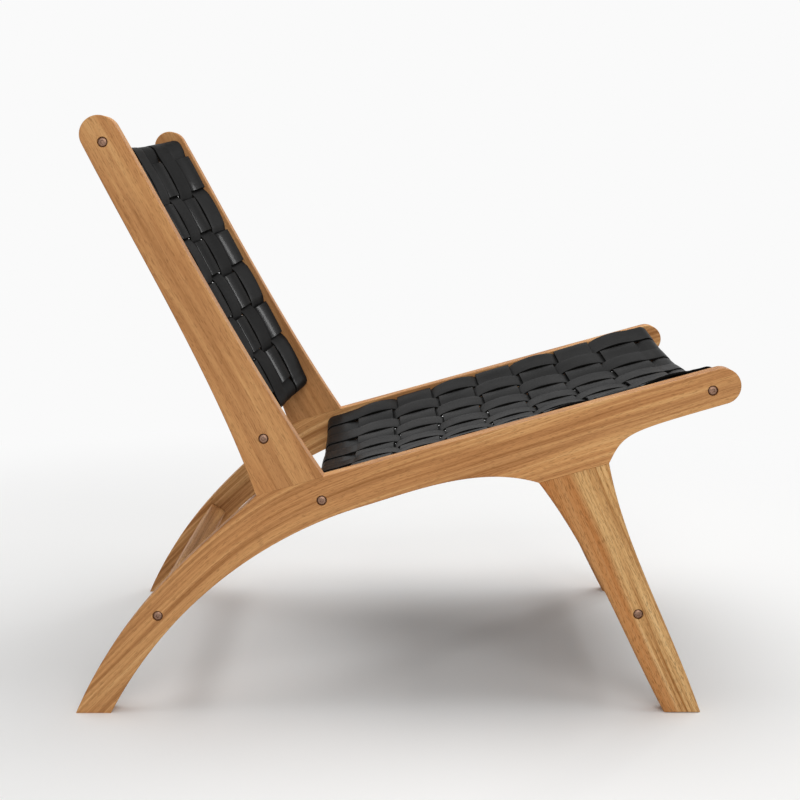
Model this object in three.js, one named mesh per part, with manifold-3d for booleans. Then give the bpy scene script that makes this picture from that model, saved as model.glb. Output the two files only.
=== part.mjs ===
// Low lounge chair: two wooden side frames, joined by six bolted cross members, carry a seat and
// a back that are woven from flat leather straps.
// Millimetres. +X is the front of the chair, +Y its left side, +Z up. The floor is at Z = 0.
import * as THREE from 'three';
import { mergeVertices } from 'three/addons/utils/BufferGeometryUtils.js';
import Module from 'manifold-3d';

const wasm = await Module();
wasm.setup();

// Clearances
const FIT_GAP = 0.3;
const STRAP_SIDE_GAP = 1.5;
const WEAVE_EASE = 1;

// Whole chair
const INNER_WIDTH = 580;
const FRAME_THICKNESS = 30;

// Seat axis: the line through the two seat bolts, seen from the side
const SEAT_REAR_X = -113;
const SEAT_REAR_Z = 271;
const SEAT_LENGTH = 498;
const SEAT_SLOPE = 15.9;
const SEAT_REAR_SAG = 18;
const SEAT_FRONT_SAG = 34;
const SEAT_FRONT_LIFT = 5.5;

// Back axis: the line from the top back bolt down to the lower back bolt, seen from the side
const LOWER_BACK_X = -184;
const LOWER_BACK_Z = 348;
const BACK_LENGTH = 406;
const BACK_SLOPE = 62.3;
const BACK_SAG = 40;

// Side rail, which runs on into the rear leg
const RAIL_TOP_RISE = 28;
const RAIL_NOSE_RADIUS = 22;
const RAIL_NOSE_REACH = 13.7;
const RAIL_NOSE_RISE = 1.6;
const RAIL_EDGE_ROUND = 3;
const REAR_FOOT_X = -401;
const REAR_FOOT_WIDTH = 44;
const REAR_LEG_BACK_CURVE = { start: [59, 135], end: [-78, -73] };
const RAIL_WAIST_ALONG = 44.6;
const RAIL_WAIST_DROP = 21.1;
const RAIL_FRONT_ARCH_CURVE = { start: [-73.5, 22], end: [66.8, 20.3] };
const RAIL_REAR_ARCH_CURVE = { start: [-103.7, -31.5], end: [81.1, 153.1] };
const RAIL_KNUCKLE_CURVE = { start: [-123.8, -36.1], end: [17.9, 38] };

// Back post
const POST_BASE_ALONG = -33;
const POST_BASE_WIDTH = 86;
const POST_NOSE_RADIUS = 23.3;
const POST_NOSE_REACH = 10;
const POST_FRONT_CURVE = { start: [-96.2, 141.6], end: [41.5, -73.7] };
const POST_REAR_CURVE = { start: [63.5, -127], end: [-49, 143.3] };

// Front leg
const LEG_JOINT_ALONG = 308;
const LEG_JOINT_DROP = 52;
const LEG_JOINT_WIDTH = 90;
const FRONT_FOOT_X = 338;
const FRONT_FOOT_WIDTH = 46;
const LEG_EDGE_ROUND = 6;
const LEG_REAR_CURVE = { start: [67.6, -87.3], end: [-51.3, 96.5] };
const LEG_FRONT_CURVE = { start: [-43, 118], end: [21, -104] };

// Tenons of the posts and front legs
const TENON_THICKNESS = 12;
const TENON_WIDTH = 44;
const TENON_LENGTH = 24;

// Seat and back rails, which the long straps wrap round
const RAIL_BAR_DEPTH = 24;
const RAIL_BAR_HEIGHT = 34;
const RAIL_BAR_ROUND = 8;
const SEAT_REAR_LEDGE = 22;

// Side battens of the seat and the back, which the cross straps wrap round
const BATTEN_WIDTH = 18;
const BATTEN_HEIGHT = 22;
const BATTEN_ROUND = 4;
const BATTEN_TENON_WIDTH = 9;
const BATTEN_TENON_HEIGHT = 11;
const BATTEN_TENON_LENGTH = 4.5;

// Stretchers between the legs
const STRETCHER_WIDTH = 26;
const STRETCHER_HEIGHT = 36;
const STRETCHER_ROUND = 4;
const FRONT_STRETCHER_X = 280;
const FRONT_STRETCHER_Z = 127;
const FRONT_STRETCHER_TILT = -23;
const REAR_STRETCHER_X = -318;
const REAR_STRETCHER_Z = 125;
const REAR_STRETCHER_TILT = 35;

// Leather straps
const STRAP_THICKNESS = 3.3;
const LONG_STRAP_COUNT = 9;
const LONG_STRAP_MARGIN = 6.5;
const LONG_STRAP_SPACE = 5;
const SEAT_CROSS_COUNT = 7;
const SEAT_CROSS_REAR_CLEAR = 26;
const SEAT_CROSS_FRONT_CLEAR = 4.2;
const BACK_CROSS_COUNT = 6;
const BACK_CROSS_TOP_CLEAR = 5;
const BACK_CROSS_LOW_CLEAR = 2;
const CROSS_STRAP_SPACE = 9.8;

// Bolts with a domed socket head, each drawn in one piece with the threaded sleeve it screws into
const BOLT_HEAD_RADIUS = 5.8;
const BOLT_HEAD_HEIGHT = 3.6;
const BOLT_HEAD_RIM = 1.4;
const BOLT_SHANK_RADIUS = 3.5;
const BOLT_TIP_LENGTH = 10;
const BOLT_RECESS_DEPTH = 4.2;
const BOLT_RECESS_GAP = 0.6;
const BOLT_SOCKET_RADIUS = 2.2;
const BOLT_SOCKET_DEPTH = 2;
const SLEEVE_RADIUS = 5.5;
const SLEEVE_LENGTH = 18;
const SLEEVE_DEPTH = 1;

// Facets
const OUTLINE_STEPS = 11;
const NOSE_STEPS = 6;
const ROUND_STEPS = 2;
const HOLE_SIDES = 12;
const SOCKET_SIDES = 6;
const CUT_OVERRUN = 5;
const WELD_DISTANCE = 1e-4;

const MATERIALS = {
  teak: { color: 0xb07c53, roughness: 0.5, metalness: 0 },
  goldenTeak: { color: 0xbb8a54, roughness: 0.5, metalness: 0 },
  leather: { color: 0x2b2a29, roughness: 0.42, metalness: 0 },
  bronze: { color: 0x5a4632, roughness: 0.4, metalness: 0.9 },
};

const radians = THREE.MathUtils.degToRad;
const seatDirection = new THREE.Vector2(Math.cos(radians(SEAT_SLOPE)), Math.sin(radians(SEAT_SLOPE)));
const backDirection = new THREE.Vector2(Math.cos(radians(BACK_SLOPE)), -Math.sin(radians(BACK_SLOPE)));
const seatRear = new THREE.Vector2(SEAT_REAR_X, SEAT_REAR_Z);
const seatFront = onSeatAxis(SEAT_LENGTH, 0);
const lowerBack = new THREE.Vector2(LOWER_BACK_X, LOWER_BACK_Z);
const topBack = lowerBack.clone().addScaledVector(backDirection, -BACK_LENGTH);
const frontStretcher = new THREE.Vector2(FRONT_STRETCHER_X, FRONT_STRETCHER_Z);
const rearStretcher = new THREE.Vector2(REAR_STRETCHER_X, REAR_STRETCHER_Z);

const halfThickness = FRAME_THICKNESS / 2;
const halfInner = INNER_WIDTH / 2;
const strapOffset = FIT_GAP + STRAP_THICKNESS / 2;
const weaveOffset = (STRAP_THICKNESS + FIT_GAP) / 2;
const longPitch = (INNER_WIDTH - 2 * LONG_STRAP_MARGIN) / LONG_STRAP_COUNT;
const longWidth = longPitch - LONG_STRAP_SPACE;

// A point of the side view, given along the seat axis from the rear bolt and square to that axis.
function onSeatAxis(along, above) {
  return new THREE.Vector2(
    seatRear.x + along * seatDirection.x - above * seatDirection.y,
    seatRear.y + along * seatDirection.y + above * seatDirection.x,
  );
}

// Closed solids for joining and cutting.
function toSolid(geometry) {
  const bare = geometry.clone();
  bare.deleteAttribute('normal');
  bare.deleteAttribute('uv');
  const merged = mergeVertices(bare, WELD_DISTANCE);
  return new wasm.Manifold(new wasm.Mesh({
    numProp: 3,
    vertProperties: new Float32Array(merged.attributes.position.array),
    triVerts: new Uint32Array(merged.index.array),
  }));
}

function toGeometry(solid) {
  const mesh = solid.getMesh();
  const geometry = new THREE.BufferGeometry();
  geometry.setAttribute('position', new THREE.BufferAttribute(new Float32Array(mesh.vertProperties), 3));
  geometry.setIndex(new THREE.BufferAttribute(new Uint32Array(mesh.triVerts), 1));
  geometry.computeVertexNormals();
  return geometry;
}

function shaped(geometry, { joins = [], cuts = [] }) {
  let solid = toSolid(geometry);
  for (const join of joins) solid = solid.add(toSolid(join));
  for (const cut of cuts) solid = solid.subtract(toSolid(cut));
  return toGeometry(solid);
}

function piece(name, geometry, finish) {
  const mesh = new THREE.Mesh(geometry, new THREE.MeshStandardMaterial(MATERIALS[finish]));
  mesh.name = name;
  return mesh;
}

// Outlines in side view: x to the front, y of the shape up.
function curveTo(shape, from, to, curve) {
  shape.bezierCurveTo(
    from.x + curve.start[0], from.y + curve.start[1],
    to.x + curve.end[0], to.y + curve.end[1],
    to.x, to.y,
  );
}

function noseArc(shape, centre, radius, startAngle, endAngle) {
  for (let step = 1; step <= NOSE_STEPS; step += 1) {
    const angle = startAngle + (endAngle - startAngle) * step / NOSE_STEPS;
    shape.lineTo(centre.x + radius * Math.cos(angle), centre.y + radius * Math.sin(angle));
  }
}

function atAngle(centre, radius, angle) {
  return new THREE.Vector2(centre.x + radius * Math.cos(angle), centre.y + radius * Math.sin(angle));
}

// A board with rounded long edges, centred on its own thickness.
function board(shape, edgeRound) {
  const geometry = new THREE.ExtrudeGeometry(shape, {
    depth: FRAME_THICKNESS - 2 * edgeRound,
    curveSegments: OUTLINE_STEPS,
    bevelThickness: edgeRound,
    bevelSize: edgeRound,
    bevelOffset: -edgeRound,
    bevelSegments: ROUND_STEPS,
  });
  geometry.translate(0, 0, edgeRound - halfThickness);
  geometry.rotateX(Math.PI / 2);
  return geometry;
}

function roundedRectangle(width, height, round) {
  const shape = new THREE.Shape();
  const cornerCentres = [[1, 1], [-1, 1], [-1, -1], [1, -1]];
  const points = [];
  cornerCentres.forEach(([signX, signY], corner) => {
    for (let step = 0; step <= ROUND_STEPS; step += 1) {
      const angle = (corner + step / ROUND_STEPS) * Math.PI / 2;
      points.push(new THREE.Vector2(
        signX * (width / 2 - round) + round * Math.cos(angle),
        signY * (height / 2 - round) + round * Math.sin(angle),
      ));
    }
  });
  shape.setFromPoints(points);
  return shape;
}

// Joint faces between the side rail and the post or the leg that meets it.
const postBaseRear = onSeatAxis(POST_BASE_ALONG - POST_BASE_WIDTH / 2, RAIL_TOP_RISE);
const postBaseFront = onSeatAxis(POST_BASE_ALONG + POST_BASE_WIDTH / 2, RAIL_TOP_RISE);
const legJointRear = onSeatAxis(LEG_JOINT_ALONG - LEG_JOINT_WIDTH / 2, -LEG_JOINT_DROP);
const legJointFront = onSeatAxis(LEG_JOINT_ALONG + LEG_JOINT_WIDTH / 2, -LEG_JOINT_DROP);
const seatNormal = new THREE.Vector2(-seatDirection.y, seatDirection.x);
const railWaist = onSeatAxis(RAIL_WAIST_ALONG, -RAIL_WAIST_DROP);
const railNose = onSeatAxis(SEAT_LENGTH + RAIL_NOSE_REACH, RAIL_NOSE_RISE);
const postNose = topBack.clone().addScaledVector(backDirection, -POST_NOSE_REACH);
const rearFootBack = new THREE.Vector2(REAR_FOOT_X - REAR_FOOT_WIDTH / 2, 0);
const rearFootFront = new THREE.Vector2(REAR_FOOT_X + REAR_FOOT_WIDTH / 2, 0);
const frontFootBack = new THREE.Vector2(FRONT_FOOT_X - FRONT_FOOT_WIDTH / 2, 0);
const frontFootFront = new THREE.Vector2(FRONT_FOOT_X + FRONT_FOOT_WIDTH / 2, 0);

function sideRailShape() {
  const seatAngle = radians(SEAT_SLOPE);
  const noseTop = atAngle(railNose, RAIL_NOSE_RADIUS, seatAngle + Math.PI / 2);
  const noseBottom = atAngle(railNose, RAIL_NOSE_RADIUS, seatAngle - Math.PI / 2);
  const shape = new THREE.Shape();
  shape.moveTo(rearFootFront.x, rearFootFront.y);
  shape.lineTo(rearFootBack.x, rearFootBack.y);
  curveTo(shape, rearFootBack, postBaseRear, REAR_LEG_BACK_CURVE);
  shape.lineTo(postBaseFront.x, postBaseFront.y);
  shape.lineTo(noseTop.x, noseTop.y);
  noseArc(shape, railNose, RAIL_NOSE_RADIUS, seatAngle + Math.PI / 2, seatAngle - Math.PI / 2);
  curveTo(shape, noseBottom, legJointFront, RAIL_KNUCKLE_CURVE);
  shape.lineTo(legJointRear.x, legJointRear.y);
  curveTo(shape, legJointRear, railWaist, RAIL_FRONT_ARCH_CURVE);
  curveTo(shape, railWaist, rearFootFront, RAIL_REAR_ARCH_CURVE);
  return shape;
}

function postShape() {
  const backAngle = radians(-BACK_SLOPE);
  const front = postBaseFront.clone().addScaledVector(seatNormal, FIT_GAP);
  const rear = postBaseRear.clone().addScaledVector(seatNormal, FIT_GAP);
  const noseFront = atAngle(postNose, POST_NOSE_RADIUS, backAngle + Math.PI / 2);
  const noseRear = atAngle(postNose, POST_NOSE_RADIUS, backAngle + Math.PI * 3 / 2);
  const shape = new THREE.Shape();
  shape.moveTo(rear.x, rear.y);
  shape.lineTo(front.x, front.y);
  curveTo(shape, front, noseFront, POST_FRONT_CURVE);
  noseArc(shape, postNose, POST_NOSE_RADIUS, backAngle + Math.PI / 2, backAngle + Math.PI * 3 / 2);
  curveTo(shape, noseRear, rear, POST_REAR_CURVE);
  return shape;
}

function frontLegShape() {
  const rear = legJointRear.clone().addScaledVector(seatNormal, -FIT_GAP);
  const front = legJointFront.clone().addScaledVector(seatNormal, -FIT_GAP);
  const shape = new THREE.Shape();
  shape.moveTo(front.x, front.y);
  shape.lineTo(rear.x, rear.y);
  curveTo(shape, rear, frontFootBack, LEG_REAR_CURVE);
  shape.lineTo(frontFootFront.x, frontFootFront.y);
  curveTo(shape, frontFootFront, front, LEG_FRONT_CURVE);
  return shape;
}

// A tenon that runs from inside its own piece into the side rail, or the mortise that takes it.
function tenon(rear, front, direction, clearance) {
  const length = TENON_LENGTH + CUT_OVERRUN + clearance;
  const geometry = new THREE.BoxGeometry(
    TENON_WIDTH + 2 * clearance, TENON_THICKNESS + 2 * clearance, length,
  );
  geometry.rotateY(-radians(SEAT_SLOPE));
  const centre = rear.clone().add(front).multiplyScalar(0.5);
  centre.addScaledVector(seatNormal, direction * (TENON_LENGTH + clearance - CUT_OVERRUN) / 2);
  geometry.translate(centre.x, 0, centre.y);
  return geometry;
}

function crossCylinder(centre, radius, fromY, toY) {
  const geometry = new THREE.CylinderGeometry(radius, radius, Math.abs(toY - fromY), HOLE_SIDES);
  geometry.translate(centre.x, (fromY + toY) / 2, centre.y);
  return geometry;
}

// The bolt hole of a board, with the recess for the head on the outer face.
function boltCuts(centre, side) {
  const outerFace = side * halfThickness;
  return [
    crossCylinder(centre, BOLT_SHANK_RADIUS + FIT_GAP, -halfThickness - CUT_OVERRUN, halfThickness + CUT_OVERRUN),
    crossCylinder(
      centre, BOLT_HEAD_RADIUS + BOLT_RECESS_GAP,
      outerFace - side * BOLT_RECESS_DEPTH, outerFace + side * CUT_OVERRUN,
    ),
  ];
}

// The hole that takes a bolt's sleeve and tip in the end of a cross member.
function sleeveCuts(centre, side) {
  const endFace = side * halfInner;
  const sleeveEnd = SLEEVE_DEPTH + SLEEVE_LENGTH + FIT_GAP;
  return [
    crossCylinder(centre, SLEEVE_RADIUS + FIT_GAP, endFace + side * CUT_OVERRUN, endFace - side * sleeveEnd),
    crossCylinder(
      centre, BOLT_SHANK_RADIUS + FIT_GAP,
      endFace + side * CUT_OVERRUN, endFace - side * (sleeveEnd + BOLT_TIP_LENGTH + FIT_GAP),
    ),
  ];
}

// A bolt along +Y with its head outward; y = 0 is the outer face of the side frame.
function boltGeometry() {
  const headSeat = FIT_GAP - BOLT_RECESS_DEPTH;
  const sleeveStart = -FRAME_THICKNESS - SLEEVE_DEPTH;
  const sleeveEnd = sleeveStart - SLEEVE_LENGTH;
  const profile = [
    [0, sleeveEnd - BOLT_TIP_LENGTH],
    [BOLT_SHANK_RADIUS, sleeveEnd - BOLT_TIP_LENGTH],
    [BOLT_SHANK_RADIUS, sleeveEnd],
    [SLEEVE_RADIUS, sleeveEnd],
    [SLEEVE_RADIUS, sleeveStart],
    [BOLT_SHANK_RADIUS, sleeveStart],
    [BOLT_SHANK_RADIUS, headSeat],
    [BOLT_HEAD_RADIUS, headSeat],
    [BOLT_HEAD_RADIUS, headSeat + BOLT_HEAD_RIM],
    [BOLT_HEAD_RADIUS * Math.SQRT1_2, headSeat + BOLT_HEAD_HEIGHT - BOLT_HEAD_RIM / 2],
    [0, headSeat + BOLT_HEAD_HEIGHT],
  ].map(([radius, height]) => new THREE.Vector2(radius, height));
  const socket = new THREE.CylinderGeometry(
    BOLT_SOCKET_RADIUS, BOLT_SOCKET_RADIUS, BOLT_SOCKET_DEPTH + CUT_OVERRUN, SOCKET_SIDES,
  );
  socket.translate(0, headSeat + BOLT_HEAD_HEIGHT + (CUT_OVERRUN - BOLT_SOCKET_DEPTH) / 2, 0);
  return shaped(new THREE.LatheGeometry(profile, HOLE_SIDES), { cuts: [socket] });
}

// One side frame: rail with rear leg, back post, front leg and the six bolts through them.
function sideFrame(label, side) {
  const group = new THREE.Group();
  group.position.y = side * (halfInner + halfThickness);
  const railCuts = [
    tenon(postBaseRear, postBaseFront, -1, FIT_GAP),
    tenon(legJointRear, legJointFront, 1, FIT_GAP),
    ...boltCuts(seatRear, side),
    ...boltCuts(seatFront, side),
    ...boltCuts(rearStretcher, side),
  ];
  const post = {
    joins: [tenon(postBaseRear, postBaseFront, -1, 0)],
    cuts: [...boltCuts(topBack, side), ...boltCuts(lowerBack, side)],
  };
  const leg = {
    joins: [tenon(legJointRear, legJointFront, 1, 0)],
    cuts: boltCuts(frontStretcher, side),
  };
  group.add(
    piece(`side_rail_${label}`, shaped(board(sideRailShape(), RAIL_EDGE_ROUND), { cuts: railCuts }), 'teak'),
    piece(`back_post_${label}`, shaped(board(postShape(), RAIL_EDGE_ROUND), post), 'teak'),
    piece(`front_leg_${label}`, shaped(board(frontLegShape(), LEG_EDGE_ROUND), leg), 'goldenTeak'),
  );
  const boltPlaces = {
    top_back: topBack,
    lower_back: lowerBack,
    seat_rear: seatRear,
    seat_front: seatFront,
    front_stretcher: frontStretcher,
    rear_stretcher: rearStretcher,
  };
  for (const [place, centre] of Object.entries(boltPlaces)) {
    const bolt = piece(`bolt_${place}_${label}`, boltGeometry(), 'bronze');
    bolt.rotation.z = side > 0 ? 0 : Math.PI;
    bolt.position.set(centre.x, side * halfThickness, centre.y);
    group.add(bolt);
  }
  return group;
}

// A straight stretcher between the legs, turned to lie along them.
function stretcher(name, centre, tilt) {
  const length = INNER_WIDTH - 2 * FIT_GAP;
  const geometry = new THREE.ExtrudeGeometry(
    roundedRectangle(STRETCHER_WIDTH, STRETCHER_HEIGHT, STRETCHER_ROUND),
    { depth: length, bevelEnabled: false },
  );
  geometry.translate(0, 0, -length / 2);
  geometry.rotateX(Math.PI / 2);
  geometry.rotateY(radians(tilt));
  geometry.translate(centre.x, 0, centre.y);
  const cuts = [...sleeveCuts(centre, 1), ...sleeveCuts(centre, -1)];
  return piece(name, shaped(geometry, { cuts }), 'teak');
}

// A closed body swept through rings of equally many points, with flat ends.
function sweptBody(rings) {
  const ringSize = rings[0].length;
  const positions = rings.flat().flatMap((point) => point.toArray());
  const index = [];
  for (let ring = 0; ring < rings.length - 1; ring += 1) {
    for (let corner = 0; corner < ringSize; corner += 1) {
      const next = (corner + 1) % ringSize;
      const near = ring * ringSize;
      const far = near + ringSize;
      index.push(near + corner, near + next, far + next, near + corner, far + next, far + corner);
    }
  }
  const last = (rings.length - 1) * ringSize;
  for (let corner = 1; corner < ringSize - 1; corner += 1) {
    index.push(0, corner + 1, corner, last, last + corner, last + corner + 1);
  }
  const geometry = new THREE.BufferGeometry();
  geometry.setAttribute('position', new THREE.Float32BufferAttribute(positions, 3));
  geometry.setIndex(index);
  geometry.computeVertexNormals();
  return geometry;
}

// A strap with a flat section, from stations that each have a centre, a width and a face direction.
function strapGeometry(stations, width) {
  const rings = stations.map(({ centre, across, normal }) => {
    const side = across.clone().multiplyScalar(width / 2);
    const up = normal.clone().multiplyScalar(STRAP_THICKNESS / 2);
    return [
      centre.clone().add(side).add(up),
      centre.clone().sub(side).add(up),
      centre.clone().sub(side).sub(up),
      centre.clone().add(side).sub(up),
    ];
  });
  return sweptBody(rings);
}

// A woven panel. Its own x runs from the start rail to the end rail, y across and z to the face.
class WovenPanel {
  constructor(settings) {
    Object.assign(this, settings);
    const { length, crossCount, startLedge, startClear, endClear, startSag, endSag } = settings;
    this.startInner = RAIL_BAR_DEPTH / 2 + startLedge;
    this.endInner = length - RAIL_BAR_DEPTH / 2;
    const woven = length - RAIL_BAR_DEPTH - startClear - endClear;
    this.crossPitch = (woven + CROSS_STRAP_SPACE) / crossCount;
    this.crossWidth = this.crossPitch - CROSS_STRAP_SPACE;
    this.firstCross = RAIL_BAR_DEPTH / 2 + startClear + this.crossWidth / 2;
    this.battenOuter = halfInner - STRAP_SIDE_GAP - STRAP_THICKNESS - FIT_GAP;
    const outerFacet = LONG_STRAP_COUNT - 1;
    const battenInner = this.battenOuter - BATTEN_WIDTH;
    const dish = Math.max(startSag, endSag) * this.facetDepth(outerFacet, battenInner);
    this.battenTop = RAIL_BAR_HEIGHT / 2 + strapOffset - dish - STRAP_THICKNESS - 2 * FIT_GAP;
  }

  sag(x) {
    return this.startSag + (this.endSag - this.startSag) * x / this.length;
  }

  // Edge of the facet under each long strap; the dish is flat across a strap.
  facetEdge(index) {
    return (index - LONG_STRAP_COUNT / 2) * longPitch;
  }

  depthShare(y) {
    return 1 - (y / halfInner) ** 2;
  }

  facetDepth(long, y) {
    const from = this.facetEdge(long);
    const rise = this.depthShare(from + longPitch) - this.depthShare(from);
    return this.depthShare(from) + rise * (y - from) / longPitch;
  }

  // The weave's middle surface over one facet, with its directions along, across and outward.
  frameAt(x, long, along = new THREE.Vector3(1, 0, 0)) {
    const y = this.facetEdge(long) + longPitch / 2;
    const slope = -this.sag(x) * (this.facetDepth(long, y + 1) - this.facetDepth(long, y));
    const across = new THREE.Vector3(0, 1, slope).normalize();
    const normal = new THREE.Vector3().crossVectors(along, across).normalize();
    across.crossVectors(normal, along).normalize();
    const support = new THREE.Vector3(x, y, RAIL_BAR_HEIGHT / 2 - this.sag(x) * this.facetDepth(long, y));
    return { centre: support.addScaledVector(normal, strapOffset), along, across, normal };
  }

  crossingFrame(cross, long) {
    const x = this.firstCross + cross * this.crossPitch;
    const y = this.facetEdge(long) + longPitch / 2;
    const sagSlope = (this.endSag - this.startSag) / this.length;
    const along = new THREE.Vector3(1, 0, -sagSlope * this.facetDepth(long, y)).normalize();
    return this.frameAt(x, long, along);
  }

  longIsOver(cross, long) {
    return ((cross + long) % 2 === 0) === this.startsOver;
  }

  // Stations round the outside of a bar's section, from its face to its back.
  wrap({ origin, outward, across, normal, halfDepth, halfHeight, round, steps }) {
    const stations = [];
    const place = (out, up, outTurn, upTurn) => {
      const turn = outward.clone().multiplyScalar(outTurn).addScaledVector(normal, upTurn);
      const centre = origin.clone().addScaledVector(outward, out).addScaledVector(normal, up);
      stations.push({ centre: centre.addScaledVector(turn, round + strapOffset), across, normal: turn });
    };
    for (const step of steps) {
      const angle = step * Math.PI / 2;
      const upCentre = angle > 0 ? halfHeight - round : round - halfHeight;
      if (step === 0) place(halfDepth - round, halfHeight - round, 1, 0);
      place(halfDepth - round, upCentre, Math.cos(angle), Math.sin(angle));
    }
    place(round - halfDepth, round - halfHeight, 0, -1);
    return stations;
  }

  railWrap(x, long, direction) {
    const { centre, across, normal } = this.frameAt(x, long);
    const halfHeight = RAIL_BAR_HEIGHT / 2 * normal.z;
    const origin = centre.clone().addScaledVector(normal, -strapOffset - halfHeight);
    const outward = new THREE.Vector3(direction, 0, 0);
    const halfDepth = RAIL_BAR_DEPTH / 2;
    const round = RAIL_BAR_ROUND;
    const stations = this.wrap({
      origin, outward, across, normal, halfDepth, halfHeight, round, steps: [1, 0.5, 0, -0.5, -1],
    });
    const innerReach = direction < 0 ? this.startInner : halfDepth;
    const inner = centre.clone().addScaledVector(outward, round - innerReach);
    return [{ centre: inner, across, normal }, ...stations];
  }

  battenWrap(cross, side) {
    const { centre } = this.crossingFrame(cross, 0);
    const origin = new THREE.Vector3(
      centre.x, side * (this.battenOuter - BATTEN_WIDTH / 2), this.battenTop - BATTEN_HEIGHT / 2,
    );
    return this.wrap({
      origin,
      outward: new THREE.Vector3(0, side, 0),
      across: new THREE.Vector3(-1, 0, 0),
      normal: new THREE.Vector3(0, 0, 1),
      halfDepth: BATTEN_WIDTH / 2,
      halfHeight: BATTEN_HEIGHT / 2,
      round: BATTEN_ROUND,
      steps: [0.5, 0, -0.5, -1],
    });
  }

  longStrap(long) {
    const stations = this.railWrap(0, long, -1).reverse();
    const reach = this.crossWidth / 2 + WEAVE_EASE;
    for (let cross = 0; cross < this.crossCount; cross += 1) {
      const { centre, along, across, normal } = this.crossingFrame(cross, long);
      const lift = this.longIsOver(cross, long) ? weaveOffset : -weaveOffset;
      for (const end of [-reach, reach]) {
        const place = centre.clone().addScaledVector(along, end).addScaledVector(normal, lift);
        stations.push({ centre: place, across, normal });
      }
    }
    stations.push(...this.railWrap(this.length, long, 1));
    return strapGeometry(stations, longWidth);
  }

  crossStrap(cross) {
    const stations = this.battenWrap(cross, -1).reverse();
    const reach = longWidth / 2 + WEAVE_EASE;
    for (let long = 0; long < LONG_STRAP_COUNT; long += 1) {
      const { centre, along, across, normal } = this.crossingFrame(cross, long);
      const lift = this.longIsOver(cross, long) ? -weaveOffset : weaveOffset;
      for (const end of [-reach, reach]) {
        const place = centre.clone().addScaledVector(across, end).addScaledVector(normal, lift);
        stations.push({ centre: place, across: along.clone().negate(), normal });
      }
    }
    stations.push(...this.battenWrap(cross, 1));
    return strapGeometry(stations, this.crossWidth);
  }

  // A rail bowed to the dish, straight under each strap, with the bolt and batten holes. Its ledge
  // reaches under the straps towards the middle of the panel, and its lift raises it over the bolt.
  rail(name, x, { ledge, lift }) {
    const section = roundedRectangle(RAIL_BAR_DEPTH + ledge, RAIL_BAR_HEIGHT, RAIL_BAR_ROUND).getPoints();
    const ends = halfInner - FIT_GAP;
    const places = [-ends];
    for (let edge = 0; edge <= LONG_STRAP_COUNT; edge += 1) places.push(this.facetEdge(edge));
    places.push(ends);
    const rings = places.map((y) => {
      const bow = -this.sag(x) * this.depthShare(y);
      return section.map((point) => new THREE.Vector3(x + ledge / 2 + point.x, y, point.y + bow)).reverse();
    });
    const boltCentre = new THREE.Vector2(x, -lift);
    const cuts = [...sleeveCuts(boltCentre, 1), ...sleeveCuts(boltCentre, -1)];
    for (const side of [-1, 1]) cuts.push(this.battenSolid(side, FIT_GAP));
    return piece(name, shaped(sweptBody(rings), { cuts }), 'teak');
  }

  // The part of a batten that goes into both rails: its tenons, drawn as one bar.
  battenSolid(side, clearance) {
    const reach = this.endInner - this.startInner + 2 * (BATTEN_TENON_LENGTH - FIT_GAP + clearance);
    const geometry = new THREE.BoxGeometry(
      reach, BATTEN_TENON_WIDTH + 2 * clearance, BATTEN_TENON_HEIGHT + 2 * clearance,
    );
    geometry.translate(
      (this.startInner + this.endInner) / 2,
      side * (this.battenOuter - BATTEN_WIDTH / 2),
      this.battenTop - BATTEN_HEIGHT / 2,
    );
    return geometry;
  }

  batten(label, side) {
    const length = this.endInner - this.startInner - 2 * FIT_GAP;
    const geometry = new THREE.ExtrudeGeometry(
      roundedRectangle(BATTEN_WIDTH, BATTEN_HEIGHT, BATTEN_ROUND),
      { depth: length, bevelEnabled: false },
    );
    geometry.rotateX(Math.PI / 2);
    geometry.rotateZ(Math.PI / 2);
    geometry.translate(
      this.startInner + FIT_GAP,
      side * (this.battenOuter - BATTEN_WIDTH / 2),
      this.battenTop - BATTEN_HEIGHT / 2,
    );
    return piece(`${this.label}_batten_${label}`, shaped(geometry, { joins: [this.battenSolid(side, 0)] }), 'teak');
  }

  build() {
    const group = new THREE.Group();
    group.add(
      this.rail(this.startRail, 0, { ledge: this.startLedge, lift: 0 }),
      this.rail(this.endRail, this.length, { ledge: 0, lift: this.endLift }),
      this.batten('right', -1),
      this.batten('left', 1),
    );
    for (let long = 0; long < LONG_STRAP_COUNT; long += 1) {
      group.add(piece(`${this.label}_long_strap_${long + 1}`, this.longStrap(long), 'leather'));
    }
    for (let cross = 0; cross < this.crossCount; cross += 1) {
      group.add(piece(`${this.label}_cross_strap_${cross + 1}`, this.crossStrap(cross), 'leather'));
    }
    return group;
  }
}

const seat = new WovenPanel({
  label: 'seat',
  length: Math.sqrt(SEAT_LENGTH ** 2 - SEAT_FRONT_LIFT ** 2),
  startLedge: SEAT_REAR_LEDGE,
  endLift: SEAT_FRONT_LIFT,
  crossCount: SEAT_CROSS_COUNT,
  startClear: SEAT_CROSS_REAR_CLEAR,
  endClear: SEAT_CROSS_FRONT_CLEAR,
  startSag: SEAT_REAR_SAG,
  endSag: SEAT_FRONT_SAG,
  startsOver: true,
  startRail: 'seat_rear_rail',
  endRail: 'seat_front_rail',
}).build();
seat.position.set(seatRear.x, 0, seatRear.y);
seat.rotation.y = -radians(SEAT_SLOPE) - Math.asin(SEAT_FRONT_LIFT / SEAT_LENGTH);

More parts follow.
